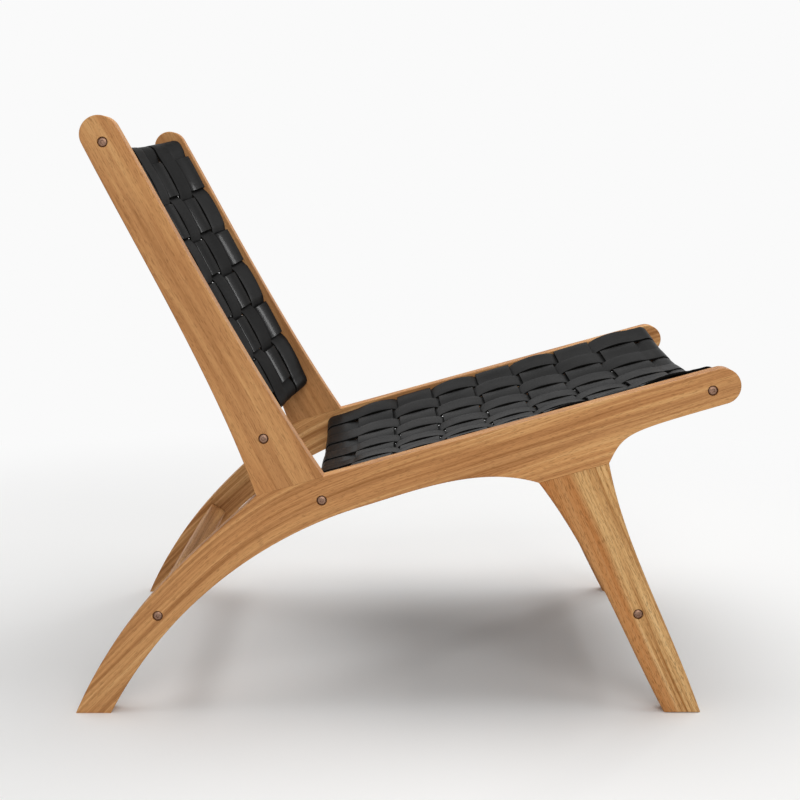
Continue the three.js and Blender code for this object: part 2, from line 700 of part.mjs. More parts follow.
const back = new WovenPanel({
  label: 'back',
  length: BACK_LENGTH,
  startLedge: 0,
  endLift: 0,
  crossCount: BACK_CROSS_COUNT,
  startClear: BACK_CROSS_TOP_CLEAR,
  endClear: BACK_CROSS_LOW_CLEAR,
  startSag: BACK_SAG,
  endSag: BACK_SAG,
  startsOver: false,
  startRail: 'top_back_rail',
  endRail: 'lower_back_rail',
}).build();
back.position.set(topBack.x, 0, topBack.y);
back.rotation.y = radians(BACK_SLOPE);

// The origin lies on the floor under the middle of the chair's length.
const chair = new THREE.Group();
chair.position.x = -(rearFootBack.x + railNose.x + RAIL_NOSE_RADIUS) / 2;
chair.add(
  sideFrame('right', -1),
  sideFrame('left', 1),
  stretcher('front_stretcher', frontStretcher, FRONT_STRETCHER_TILT),
  stretcher('rear_stretcher', rearStretcher, REAR_STRETCHER_TILT),
  seat,
  back,
);

export default chair;
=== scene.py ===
"""Looks of a low lounge chair: wooden side frames, bolted cross bars and woven leather straps.

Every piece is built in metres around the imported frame. +X is the front of the chair, +Y its left
side and +Z up. Sizes are kept in millimetres, as a maker would write them.
"""

from __future__ import annotations

import logging
import math
from collections.abc import Callable, Iterator, Mapping, Sequence
from contextlib import contextmanager
from dataclasses import dataclass, field, replace
from enum import Enum
from functools import partial

import bmesh
import bpy
import numpy as np
from mathutils import Matrix, Vector

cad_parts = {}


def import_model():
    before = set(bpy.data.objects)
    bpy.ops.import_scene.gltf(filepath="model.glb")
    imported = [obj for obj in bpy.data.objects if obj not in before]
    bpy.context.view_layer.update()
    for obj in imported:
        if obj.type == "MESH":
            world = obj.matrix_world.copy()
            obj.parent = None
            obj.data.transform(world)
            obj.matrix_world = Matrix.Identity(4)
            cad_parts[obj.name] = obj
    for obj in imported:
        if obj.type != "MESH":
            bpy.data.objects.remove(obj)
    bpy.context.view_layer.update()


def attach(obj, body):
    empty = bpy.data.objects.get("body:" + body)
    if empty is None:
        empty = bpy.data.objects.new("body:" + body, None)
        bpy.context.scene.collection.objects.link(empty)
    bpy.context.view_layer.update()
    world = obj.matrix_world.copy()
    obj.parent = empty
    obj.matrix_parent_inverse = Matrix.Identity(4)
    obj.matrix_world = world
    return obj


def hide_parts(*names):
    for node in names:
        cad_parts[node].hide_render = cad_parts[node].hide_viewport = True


LOG = logging.getLogger("lounge_chair")
MM = 0.001
BODY = "root"

Point = tuple[float, float]
Spot = tuple[float, float, float]
Colour = tuple[float, float, float, float]
# The two handles of a curve, and how many edges it is drawn with.
Handles = tuple[Point, Point, int]


class Side(Enum):
    """The two sides of the chair, as seen by a person who sits in it."""

    RIGHT = "right"
    LEFT = "left"

    @property
    def sign(self) -> int:
        """The side's direction along Y."""
        return -1 if self is Side.RIGHT else 1


class GrainLie(Enum):
    """Which way the grain of a piece runs."""

    SIDE_VIEW = "along a line in the side view"
    ACROSS = "across the chair"


class Value:
    """A number in a shader, which Python's operators turn into Math nodes."""

    def __init__(self, graph: Graph, socket: bpy.types.NodeSocket) -> None:
        """Wraps an output socket of a graph."""
        self.graph = graph
        self.socket = socket

    def _math(self, operation: str, *terms: Value | float) -> Value:
        """The result of one Math node."""
        return self.graph.node("ShaderNodeMath", {"operation": operation}, dict(enumerate(terms)))

    def __add__(self, other: Value | float) -> Value:
        """The sum."""
        return self._math("ADD", self, other)

    def __radd__(self, other: float) -> Value:
        """The sum with a number in front."""
        return self._math("ADD", other, self)

    def __sub__(self, other: Value | float) -> Value:
        """The difference."""
        return self._math("SUBTRACT", self, other)

    def __rsub__(self, other: float) -> Value:
        """The difference from a number in front."""
        return self._math("SUBTRACT", other, self)

    def __mul__(self, other: Value | float) -> Value:
        """The product."""
        return self._math("MULTIPLY", self, other)

    def __rmul__(self, other: float) -> Value:
        """The product with a number in front."""
        return self._math("MULTIPLY", other, self)

    def __abs__(self) -> Value:
        """The size without its sign."""
        return self._math("ABSOLUTE", self)

    def root(self) -> Value:
        """The square root."""
        return self._math("SQRT", self)

    def larger(self, other: Value) -> Value:
        """The larger of two values."""
        return self._math("MAXIMUM", self, other)

    def step(self, low: float, high: float) -> Value:
        """A soft step from 0 at the low value to 1 at the high one."""
        settings = {"interpolation_type": "SMOOTHSTEP"}
        return self.graph.node("ShaderNodeMapRange", settings, {"Value": self, 1: low, 2: high})


Feed = Value | float | Sequence[float]


class Graph:
    """The node tree of a material or of the world."""

    def __init__(self, owner: bpy.types.Material | bpy.types.World) -> None:
        """Empties the owner's node tree.

        Args:
            owner: The material or world.
        """
        owner.use_nodes = True
        self.owner = owner
        self.tree = owner.node_tree
        self.tree.nodes.clear()

    def node(
        self,
        kind: str,
        settings: Mapping[str, object] | None = None,
        inputs: Mapping[int | str, Feed] | None = None,
        output: int | str = 0,
    ) -> Value:
        """Adds a node.

        Args:
            kind: The node's type.
            settings: Its settings, with a ramp's stops under "stops".
            inputs: Values or links of its sockets.
            output: The socket that is wanted.

        Returns:
            The wanted output.
        """
        made = self.tree.nodes.new(kind)
        for name, setting in (settings or {}).items():
            if name == "stops":
                self._set_stops(made.color_ramp, setting)
            else:
                setattr(made, name, setting)
        for key, feed in (inputs or {}).items():
            if isinstance(feed, Value):
                self.tree.links.new(feed.socket, made.inputs[key])
            else:
                made.inputs[key].default_value = feed
        return Value(self, made.outputs[output])

    @staticmethod
    def _set_stops(ramp: bpy.types.ColorRamp, stops: Sequence[tuple[float, Colour]]) -> None:
        """Gives a colour ramp its stops.

        Args:
            ramp: The ramp, which has two stops already.
            stops: Place and colour of each stop.
        """
        while len(ramp.elements) < len(stops):
            ramp.elements.new(1.0)
        for element, (place, colour) in zip(ramp.elements, stops):
            element.position = place
            element.color = colour

    def place(self, source: str = "Object") -> tuple[Value, Value, Value]:
        """The three coordinates of a point on the piece.

        Args:
            source: The output of the Texture Coordinate node.

        Returns:
            The x, y and z values.
        """
        point = self.node("ShaderNodeTexCoord", None, None, source)
        x, y, z = (self.node("ShaderNodeSeparateXYZ", None, {0: point}, axis) for axis in range(3))
        return x, y, z

    def noise(
        self, x: Feed, y: Feed, z: Feed, detail: float = 2.0, roughness: float = 0.5, scale: float = 1.0
    ) -> Value:
        """Soft noise whose spots are about one unit across, over the scale.

        Args:
            x: First coordinate.
            y: Second coordinate.
            z: Third coordinate.
            detail: Octaves of finer noise.
            roughness: Share of each finer octave.
            scale: How often the noise repeats in one unit.

        Returns:
            A value near 0.5.
        """
        spot = self.node("ShaderNodeCombineXYZ", None, {0: x, 1: y, 2: z})
        sockets = {"Vector": spot, "Scale": scale, "Detail": detail, "Roughness": roughness}
        return self.node("ShaderNodeTexNoise", None, sockets)

    def mix(self, share: Feed, first: Feed, second: Feed, blend: str = "MIX") -> Value:
        """Two colours mixed, with the share of the second."""
        settings = {"data_type": "RGBA", "blend_type": blend}
        return self.node("ShaderNodeMix", settings, {0: share, 6: first, 7: second}, 2)

    def bump(self, height: Value, strength: float, distance: float) -> Value:
        """A normal bumped by a height pattern, with the height of one unit in metres."""
        sockets = {"Strength": strength, "Distance": distance, "Height": height}
        return self.node("ShaderNodeBump", None, sockets)

    def surface(self, shader: Value) -> None:
        """Sends a shader to the output.

        Args:
            shader: The shader's output.
        """
        kind = "World" if isinstance(self.owner, bpy.types.World) else "Material"
        made = self.tree.nodes.new(f"ShaderNodeOutput{kind}")
        self.tree.links.new(shader.socket, made.inputs["Surface"])

    def finished(self, sockets: Mapping[str, Feed]) -> bpy.types.Material:
        """Ends a material in a Principled shader with these sockets."""
        self.surface(self.node("ShaderNodeBsdfPrincipled", None, sockets))
        return self.owner


def new_graph(name: str) -> Graph:
    """Makes an empty material and opens its graph."""
    return Graph(bpy.data.materials.new(name))


def grey(level: float) -> Colour:
    """An even grey."""
    return (level, level, level, 1.0)


@dataclass(frozen=True)
class WoodTones:
    """The colours of one timber, from its palest streaks to its pores."""

    pale: Colour
    light: Colour
    middle: Colour
    dark: Colour
    pore: Colour


BROWN_TEAK = WoodTones(
    pale=(0.666, 0.384, 0.163, 1.0),
    light=(0.572, 0.297, 0.115, 1.0),
    middle=(0.477, 0.227, 0.085, 1.0),
    dark=(0.322, 0.138, 0.043, 1.0),
    pore=(0.156, 0.064, 0.023, 1.0),
)
GOLDEN_TEAK = WoodTones(
    pale=(0.752, 0.505, 0.249, 1.0),
    light=(0.673, 0.416, 0.179, 1.0),
    middle=(0.574, 0.325, 0.128, 1.0),
    dark=(0.342, 0.146, 0.040, 1.0),
    pore=(0.119, 0.048, 0.013, 1.0),
)
# Near-black teak for the panel rails and battens: painted shade, so that the gaps between the straps look
# dark.
PAINTED_SHADE_TEAK = WoodTones(
    pale=(0.100, 0.055, 0.027, 1.0),
    light=(0.084, 0.044, 0.020, 1.0),
    middle=(0.068, 0.034, 0.015, 1.0),
    dark=(0.044, 0.021, 0.009, 1.0),
    pore=(0.022, 0.010, 0.005, 1.0),
)
ORANGE_EDGE = (0.455, 0.180, 0.052, 1.0)
RED_TINT = (1.0, 0.90, 0.80, 1.0)


@dataclass(frozen=True)
class GrainLayer:
    """One layer of the grain, as noise that is stretched along the board.

    Attributes:
        along: Repeats in a metre along the grain.
        across: Repeats in a metre across it on the face.
        depth: Repeats in a metre into the board.
        low: Noise level at which the layer starts to show.
        high: Noise level at which it shows in full.
        detail: Octaves of finer noise.
        roughness: Share of each finer octave.
    """

    along: float
    across: float
    depth: float
    low: float
    high: float
    detail: float = 2.0
    roughness: float = 0.5

    def laid(self, graph: Graph, space: tuple[Value, Value, Value], breadth: float = 1.0) -> Value:
        """Lays the layer into a board.

        Args:
            graph: The material's graph.
            space: Coordinates along the grain, across it and into the board.
            breadth: How broad and short its streaks are made.

        Returns:
            How strongly the layer shows.
        """
        along, across, depth = space
        noise = graph.noise(
            along * (self.along * breadth), across * (self.across / breadth), depth * self.depth,
            self.detail, self.roughness,
        )
        return noise.step(self.low, self.high)


BANDS = GrainLayer(along=1.9, across=62.0, depth=26.0, low=0.30, high=0.70, detail=3.0, roughness=0.55)
STREAKS = GrainLayer(along=3.4, across=240.0, depth=110.0, low=0.30, high=0.70)
FIBRES = GrainLayer(along=11.0, across=760.0, depth=480.0, low=0.28, high=0.72)
GROWTH_LINES = GrainLayer(along=2.2, across=330.0, depth=150.0, low=0.58, high=0.74, detail=1.0)
PORES = GrainLayer(along=115.0, across=1200.0, depth=1200.0, low=0.57, high=0.67, detail=1.0)
REDNESS = GrainLayer(along=1.4, across=30.0, depth=18.0, low=0.34, high=0.68)


@dataclass(frozen=True)
class WoodFinish:
    """Oiled timber with its grain laid along one board.

    Attributes:
        name: Name of the material.
        tones: Colours of the timber.
        lie: Which way the grain runs.
        angle: Rise of the grain above +X in the side view, in degrees.
        origin: A point of the side view, in metres, on the board's middle line.
        seed: Shift of the pattern, so that no two boards are alike.
        bend: How far the grain turns towards the rear end.
        heart: Half width of the pale middle of the board in metres, or 0.
        contrast: How far the streaks differ.
        breadth: How broad and short the streaks are.
        lines: How strongly the dark growth lines show.
        pores: How strongly the pores show.
        pore_layer: How large and how close the pores are.
        drift_width: How far the grain wanders sideways, in metres.
        heart_fade: Half width of the heart's soft edge, in metres.
        depth_shift: Share of the seed that shifts the pattern into the board.
        ring_lean: How far the growth rings lean in a bar across the chair.
        bend_ease: How gently a bend in the grain sets in, in square metres.
        gloss: Specular level of the oiled surface.
    """

    name: str
    tones: WoodTones
    lie: GrainLie = GrainLie.SIDE_VIEW
    angle: float = 0.0
    origin: Point = (0.0, 0.0)
    seed: float = 0.0
    bend: float = 0.0
    heart: float = 0.0
    contrast: float = 1.25
    breadth: float = 1.0
    lines: float = 0.32
    pores: float = 0.38
    pore_layer: GrainLayer = PORES
    drift_width: float = 0.016
    heart_fade: float = 0.005
    depth_shift: float = 0.37
    ring_lean: float = 0.6
    bend_ease: float = 0.012
    gloss: float = 0.14

    def _grain_space(self, graph: Graph) -> tuple[Value, Value, Value]:
        """Coordinates along the grain, across it on the face, and into the board.

        Args:
            graph: The material's graph.

        Returns:
            The three coordinates in metres.
        """
        x, y, z = graph.place()
        if self.lie is GrainLie.ACROSS:
            return y + self.seed, x + z * self.ring_lean, z - x * self.ring_lean
        turn = math.radians(self.angle)
        right = x - self.origin[0]
        up = z - self.origin[1]
        along = right * math.cos(turn) + up * math.sin(turn)
        across = up * math.cos(turn) - right * math.sin(turn)
        if self.bend:
            reach = (along * along + self.bend_ease).root()
            across = across + (reach - along) * self.bend
        return along + self.seed, across, y + self.seed * self.depth_shift

    def _grain_line(self) -> Spot:
        """The direction of the grain.

        Returns:
            A vector of length 1.
        """
        if self.lie is GrainLie.ACROSS:
            return (0.0, 1.0, 0.0)
        turn = math.radians(self.angle)
        return (math.cos(turn), 0.0, math.sin(turn))

    def material(self) -> bpy.types.Material:
        """Makes the material.

        Returns:
            The material, with bands, growth lines, fibres and pores along the grain.
        """
        graph = new_graph(self.name)
        along, across, depth = self._grain_space(graph)
        drift = graph.noise(along * 2.6, across * 9.0, depth * 9.0) - 0.5
        space = (along, across + drift * self.drift_width, depth)
        bands, streaks = (layer.laid(graph, space, self.breadth) for layer in (BANDS, STREAKS))
        layers = (FIBRES, GROWTH_LINES, self.pore_layer, REDNESS)
        fibres, lines, pores, redness = (layer.laid(graph, space) for layer in layers)
        tones = self.tones
        stops = ((0.0, tones.dark), (0.42, tones.middle), (0.70, tones.light), (1.0, tones.pale))
        tone = (bands * 0.45 + streaks * 0.36 + fibres * 0.19 - 0.5) * self.contrast + 0.5
        colour = graph.node("ShaderNodeValToRGB", {"stops": stops}, {0: tone})
        if self.heart:
            edge = abs(across + drift * 0.03).step(self.heart - self.heart_fade, self.heart + self.heart_fade)
            orange = graph.mix(tone * 0.45, ORANGE_EDGE, BROWN_TEAK.light)
            colour = graph.mix(edge * 0.9, colour, orange)
        colour = graph.mix(redness * 0.55, colour, RED_TINT, "MULTIPLY")
        colour = graph.mix(lines * self.lines, colour, tones.dark)
        colour = graph.mix(pores * self.pores, colour, tones.pore)
        ends = {0: graph.node("ShaderNodeTexCoord", None, None, "Normal"), 1: self._grain_line()}
        facing = graph.node("ShaderNodeVectorMath", {"operation": "DOT_PRODUCT"}, ends, 1)
        end_grain = abs(facing).step(0.70, 0.98)
        colour = graph.mix(end_grain * 0.5, colour, tones.middle, "MULTIPLY")
        height = fibres * 0.35 - lines * 0.15 - pores * 0.8
        return graph.finished({
            "Base Color": colour,
            "Roughness": 0.52 + bands * 0.08 + pores * 0.25 + end_grain * 0.1,
            "Normal": graph.bump(height, 0.30, 0.0004),
            "Specular IOR Level": self.gloss,
        })


@dataclass(frozen=True)
class LeatherFinish:
    """Smooth black strap leather with a fine grain and dull cut edges.

    Attributes:
        name: Name of the material.
        gloss: Specular level of the surface.
        black: Its colour where it is darkest.
        faded: Its colour where it is faded.
        cut_edge: Colour of the cut edges.
        pebbles: Pebbles of the grain in a metre.
        creases: Creases in a metre.
        polish: Weight of the polished coat, which fades out where the strap is seen at a low angle.
    """

    name: str
    gloss: float
    black: Colour = (0.0085, 0.0084, 0.0083, 1.0)
    faded: Colour = (0.0180, 0.0178, 0.0176, 1.0)
    cut_edge: Colour = (0.0070, 0.0066, 0.0062, 1.0)
    pebbles: float = 760.0
    creases: float = 430.0
    polish: float = 0.11

    def material(self) -> bpy.types.Material:
        """Makes the material.

        Returns:
            The material, with pebbled grain, faint creases and duller edges.
        """
        graph = new_graph(self.name)
        point = graph.node("ShaderNodeTexCoord", None, None, "Object")
        x, y, z = graph.place()
        across, _, _ = graph.place("UV")
        rim = abs(across - 0.5).step(0.484, 0.499)
        clouds = graph.noise(x, y, z, detail=3.0, scale=14.0)
        mottle = graph.noise(x, y, z, scale=160.0)
        pebble, crease = (
            graph.node("ShaderNodeTexVoronoi", {"feature": feature}, {"Vector": point, "Scale": scale})
            for feature, scale in (("SMOOTH_F1", self.pebbles), ("DISTANCE_TO_EDGE", self.creases))
        )
        tone = clouds.step(0.30, 0.72) * 0.7 + mottle * 0.3
        colour = graph.mix(tone, self.black, self.faded)
        colour = graph.mix(rim * 0.8, colour, self.cut_edge)
        height = crease.step(0.0, 0.12) * 0.5 - pebble * 0.5 + mottle * 0.4
        facing = graph.node("ShaderNodeLayerWeight", None, {"Blend": 0.5}, "Facing")
        return graph.finished({
            "Base Color": colour,
            "Roughness": 0.30 + mottle * 0.10 + rim * 0.20 - tone * 0.04,
            "Normal": graph.bump(height, 0.10, 0.0003),
            "Specular IOR Level": self.gloss,
            "Coat Weight": (1.0 - facing.step(0.60, 0.72)) * (1.0 - rim) * self.polish,
            "Coat Roughness": 0.13,
        })


@dataclass(frozen=True)
class BronzeFinish:
    """Dark bronze plating that is rubbed brighter in patches."""

    name: str = "bolt_bronze"
    dark: Colour = (0.130, 0.074, 0.048, 1.0)
    rubbed: Colour = (0.325, 0.195, 0.135, 1.0)

    def material(self) -> bpy.types.Material:
        """Makes the material.

        Returns:
            The material, with a speckled patina.
        """
        graph = new_graph(self.name)
        x, y, z = graph.place()
        patina = graph.noise(x, y, z, scale=900.0)
        scratches = graph.noise(x * 2400.0, y * 300.0, z * 2400.0)
        rubbed = patina.step(0.20, 0.64)
        return graph.finished({
            "Base Color": graph.mix(rubbed, self.dark, self.rubbed),
            "Metallic": 0.70 + rubbed * 0.20,
            "Roughness": 0.48 - rubbed * 0.10 + scratches * 0.1,
            "Normal": graph.bump(scratches + patina, 0.05, 0.0002),
        })


def select_only(piece: bpy.types.Object) -> None:
    """Selects one object and makes it the active one.

    Args:
        piece: The object.
    """
    bpy.ops.object.select_all(action="DESELECT")
    piece.select_set(True)
    bpy.context.view_layer.objects.active = piece


@contextmanager
def editing(piece: bpy.types.Object) -> Iterator[None]:
    """Opens a piece in edit mode with all of it selected, and closes it again.

    Args:
        piece: The piece.

    Yields:
        Nothing.
    """
    select_only(piece)
    bpy.ops.object.mode_set(mode="EDIT")
    bpy.ops.mesh.select_all(action="SELECT")
    yield
    bpy.ops.object.mode_set(mode="OBJECT")


def pick_edges(piece: bpy.types.Object, wanted: Callable[[Vector, Vector], bool]) -> None:
    """Selects edges of the piece in edit mode by where they lie.

    Args:
        piece: The piece, which is open in edit mode.
        wanted: Says from an edge's two ends whether it is wanted.
    """
    bpy.ops.mesh.select_mode(type="EDGE")
    bpy.ops.mesh.select_all(action="DESELECT")
    mesh = bmesh.from_edit_mesh(piece.data)
    for edge in mesh.edges:
        edge.select = wanted(edge.verts[0].co, edge.verts[1].co)
    mesh.select_flush_mode()
    bmesh.update_edit_mesh(piece.data)


def close_up() -> None:
    """Merges the doubles of the piece in edit mode and turns its faces outward."""
    bpy.ops.mesh.select_all(action="SELECT")
    bpy.ops.mesh.remove_doubles(threshold=1e-6)
    bpy.ops.mesh.normals_make_consistent(inside=False)


def apply(piece: bpy.types.Object, kind: str, **settings: object) -> None:
    """Adds a modifier and applies it.

    Args:
        piece: The piece.
        kind: The modifier's type.
        **settings: Its settings.
    """
    modifier = piece.modifiers.new(kind.lower(), kind)
    for name, setting in settings.items():
        setattr(modifier, name, setting)
    select_only(piece)
    bpy.ops.object.modifier_apply(modifier=modifier.name)


def cut(piece: bpy.types.Object, cutters: Sequence[bpy.types.Object]) -> None:
    """Cuts bodies out of a piece and throws the cutters away.

    Args:
        piece: The piece.
        cutters: The bodies to cut out.
    """
    for cutter in cutters:
        apply(piece, "BOOLEAN", operation="DIFFERENCE", solver="EXACT", object=cutter)
        bpy.data.meshes.remove(cutter.data)


def smooth(piece: bpy.types.Object, angle: float = 32.0) -> None:
    """Smooths the shading, with flat faces kept flat.

    Args:
        piece: The piece.
        angle: Edges sharper than this many degrees stay sharp.
    """
    select_only(piece)
    bpy.ops.object.shade_smooth_by_angle(angle=math.radians(angle))
    apply(piece, "WEIGHTED_NORMAL", keep_sharp=True, weight=60)


def named(piece: bpy.types.Object, name: str) -> bpy.types.Object:
    """Names an object and its mesh.

    Args:
        piece: The object.
        name: Its new name.

    Returns:
        The object.
    """
    piece.name = name
    piece.data.name = name
    return piece


def turned(name: str, profile: Sequence[Point], steps: int) -> bpy.types.Object:
    """Turns a profile about the Y axis, as on a lathe.

    Args:
        name: Name of the piece.
        profile: Radius and height of each corner in millimetres, from axis to axis.
        steps: Facets round the axis.

    Returns:
        The turned body, with its axis on Y.
    """
    bpy.ops.mesh.primitive_plane_add(size=MM, location=(0.0, 0.0, 0.0))
    piece = named(bpy.context.object, name)
    with editing(piece):
        bpy.ops.mesh.select_mode(type="VERT")
        bpy.ops.mesh.merge(type="CENTER")
        previous = (0.0, 0.0)
        for index, (radius, height) in enumerate(profile):
            move = ((radius - previous[0]) * MM, (height - previous[1]) * MM, 0.0)
            if index:
                bpy.ops.mesh.extrude_vertices_move(TRANSFORM_OT_translate={"value": move})
            else:
                bpy.ops.transform.translate(value=move)
            previous = (radius, height)
        bpy.ops.mesh.select_all(action="SELECT")
        bpy.ops.mesh.spin(steps=steps, angle=math.tau, center=(0.0, 0.0, 0.0), axis=(0.0, 1.0, 0.0))
        close_up()
    return piece


def hand_over(piece: bpy.types.Object, material: bpy.types.Material, slot: str, *nodes: str) -> None:
    """Dresses a finished piece and sets it on the frame.

    Args:
        piece: The piece.
        material: Its material.
        slot: The record's material slot; not used.
        *nodes: The solids that it stands for.
    """
    piece.data.materials.clear()
    piece.data.materials.append(material)
    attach(piece, BODY)
    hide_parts(*nodes)
    LOG.info("%s: %d faces, for %s", piece.name, len(piece.data.polygons), ", ".join(nodes))


@dataclass(frozen=True)
class ChairPlan:
    """The sizes that the sub-assemblies share, in millimetres and degrees."""

    inner_width: float = 580.0
    board_thickness: float = 30.0
    seat_rear: Point = (-113.0, 271.0)
    seat_length: float = 498.0
    seat_slope: float = 15.9
    seat_front_lift: float = 5.5
    lower_back: Point = (-184.0, 348.0)
    back_length: float = 406.0
    back_slope: float = 62.3
    rail_nose_radius: float = 22.0
    rail_nose_reach: float = 13.7
    rail_nose_rise: float = 1.6
    rear_foot_x: float = -401.0
    rear_foot_width: float = 44.0
    front_stretcher: Point = (280.0, 127.0)
    rear_stretcher: Point = (-318.0, 125.0)
    fit_gap: float = 0.3

    @property
    def seat_tilt(self) -> float:
        """How far the seat is steeper than the line of its bolts."""
        return math.degrees(math.asin(self.seat_front_lift / self.seat_length))

    def on_seat_axis(self, along: float, above: float) -> Point:
        """A point of the side view, measured along the line of the seat bolts.

        Args:
            along: Distance from the rear bolt.
            above: Distance square to the line.

        Returns:
            The point.
        """
        turn = math.radians(self.seat_slope)
        x = self.seat_rear[0] + along * math.cos(turn) - above * math.sin(turn)
        z = self.seat_rear[1] + along * math.sin(turn) + above * math.cos(turn)
        return (x, z)

    @property
    def seat_front(self) -> Point:
        """The front seat bolt."""
        return self.on_seat_axis(self.seat_length, 0.0)

    @property
    def top_back(self) -> Point:
        """The top back bolt.

        Returns:
            Its place in the side view.
        """
        turn = math.radians(self.back_slope)
        x, z = self.lower_back
        return (x - self.back_length * math.cos(turn), z + self.back_length * math.sin(turn))

    @property
    def rail_nose(self) -> Point:
        """The centre of the round front end of the side rail."""
        return self.on_seat_axis(self.seat_length + self.rail_nose_reach, self.rail_nose_rise)

    @property
    def shift(self) -> float:
        """Moves the middle of the chair's length to X = 0."""
        rear = self.rear_foot_x - self.rear_foot_width / 2
        return -(rear + self.rail_nose[0] + self.rail_nose_radius) / 2

    def metres(self, point: Point) -> Point:
        """A point of the side view in the frame of the chair, in metres."""
        return ((point[0] + self.shift) * MM, point[1] * MM)


def polar(centre: Point, radius: float, angle: float) -> Point:
    """A point at a distance and an angle in degrees from a centre."""
    turn = math.radians(angle)
    return (centre[0] + radius * math.cos(turn), centre[1] + radius * math.sin(turn))


def corner(centre: Point, radius: float, first: float, last: float, parts: int = 8) -> list[Point]:
    """Points of an arc round a corner, from its first to its last angle in degrees."""
    return [polar(centre, radius, first + (last - first) * part / parts) for part in range(parts + 1)]


@dataclass
class Outline:
    """A closed outline in the side view, with how far each of its edges is rounded."""

    points: list[Point] = field(default_factory=list)
    rounding: list[float] = field(default_factory=list)

    def start(self, point: Point) -> None:
        """Puts down the first point."""
        self.points.append(point)

    def line(self, end: Point, rounding: float = 1.0, parts: int = 1) -> None:
        """Draws a straight line.

        Args:
            end: Where it ends.
            rounding: Share of the full edge rounding along it.
            parts: How many edges it has.
        """
        x, z = self.points[-1]
        for part in range(1, parts + 1):
            share = part / parts
            self._add((x + (end[0] - x) * share, z + (end[1] - z) * share), rounding)

    def curve(self, end: Point, leaving: Point, arriving: Point, parts: int = 36) -> None:
        """Draws a curve with two handles.

        Args:
            end: Where it ends.
            leaving: Handle at the start, from the start.
            arriving: Handle at the end, from the end.
            parts: How many edges it has.
        """
        first = np.array(self.points[-1])
        last = np.array(end)
        handles = (first, first + leaving, last + arriving, last)
        for part in range(1, parts + 1):
            t = part / parts
            weights = ((1 - t) ** 3, 3 * t * (1 - t) ** 2, 3 * t * t * (1 - t), t**3)
            spot = sum(weight * handle for weight, handle in zip(weights, handles))
            self._add((float(spot[0]), float(spot[1])), 1.0)

    def arc(self, centre: Point, radius: float, first: float, last: float, parts: int = 28) -> None:
        """Draws an arc on from its first point, between two angles in degrees."""
        for spot in corner(centre, radius, first, last, parts)[1:]:
            self._add(spot, 1.0)

    def _add(self, point: Point, rounding: float) -> None:
        """Adds a point and the rounding of the edge that leads to it."""
        self.points.append(point)
        self.rounding.append(rounding)

    def close(self, parts: int = 4, least: float = 0.04, square_below: float = 0.2) -> None:
        """Drops the last point, which is the first, and fades the rounding out towards the joints.

        Args:
            parts: How many edges the fade takes.
            least: Share of the rounding that is left next to a joint.
            square_below: Share below which an edge belongs to a joint.
        """
        self.points.pop()
        count = len(self.rounding)
        square = [index for index, share in enumerate(self.rounding) if share < square_below]
        for index in range(count):
            gap = min(min((index - joint) % count, (joint - index) % count) for joint in square)
            self.rounding[index] = min(self.rounding[index], max(least, gap / parts))


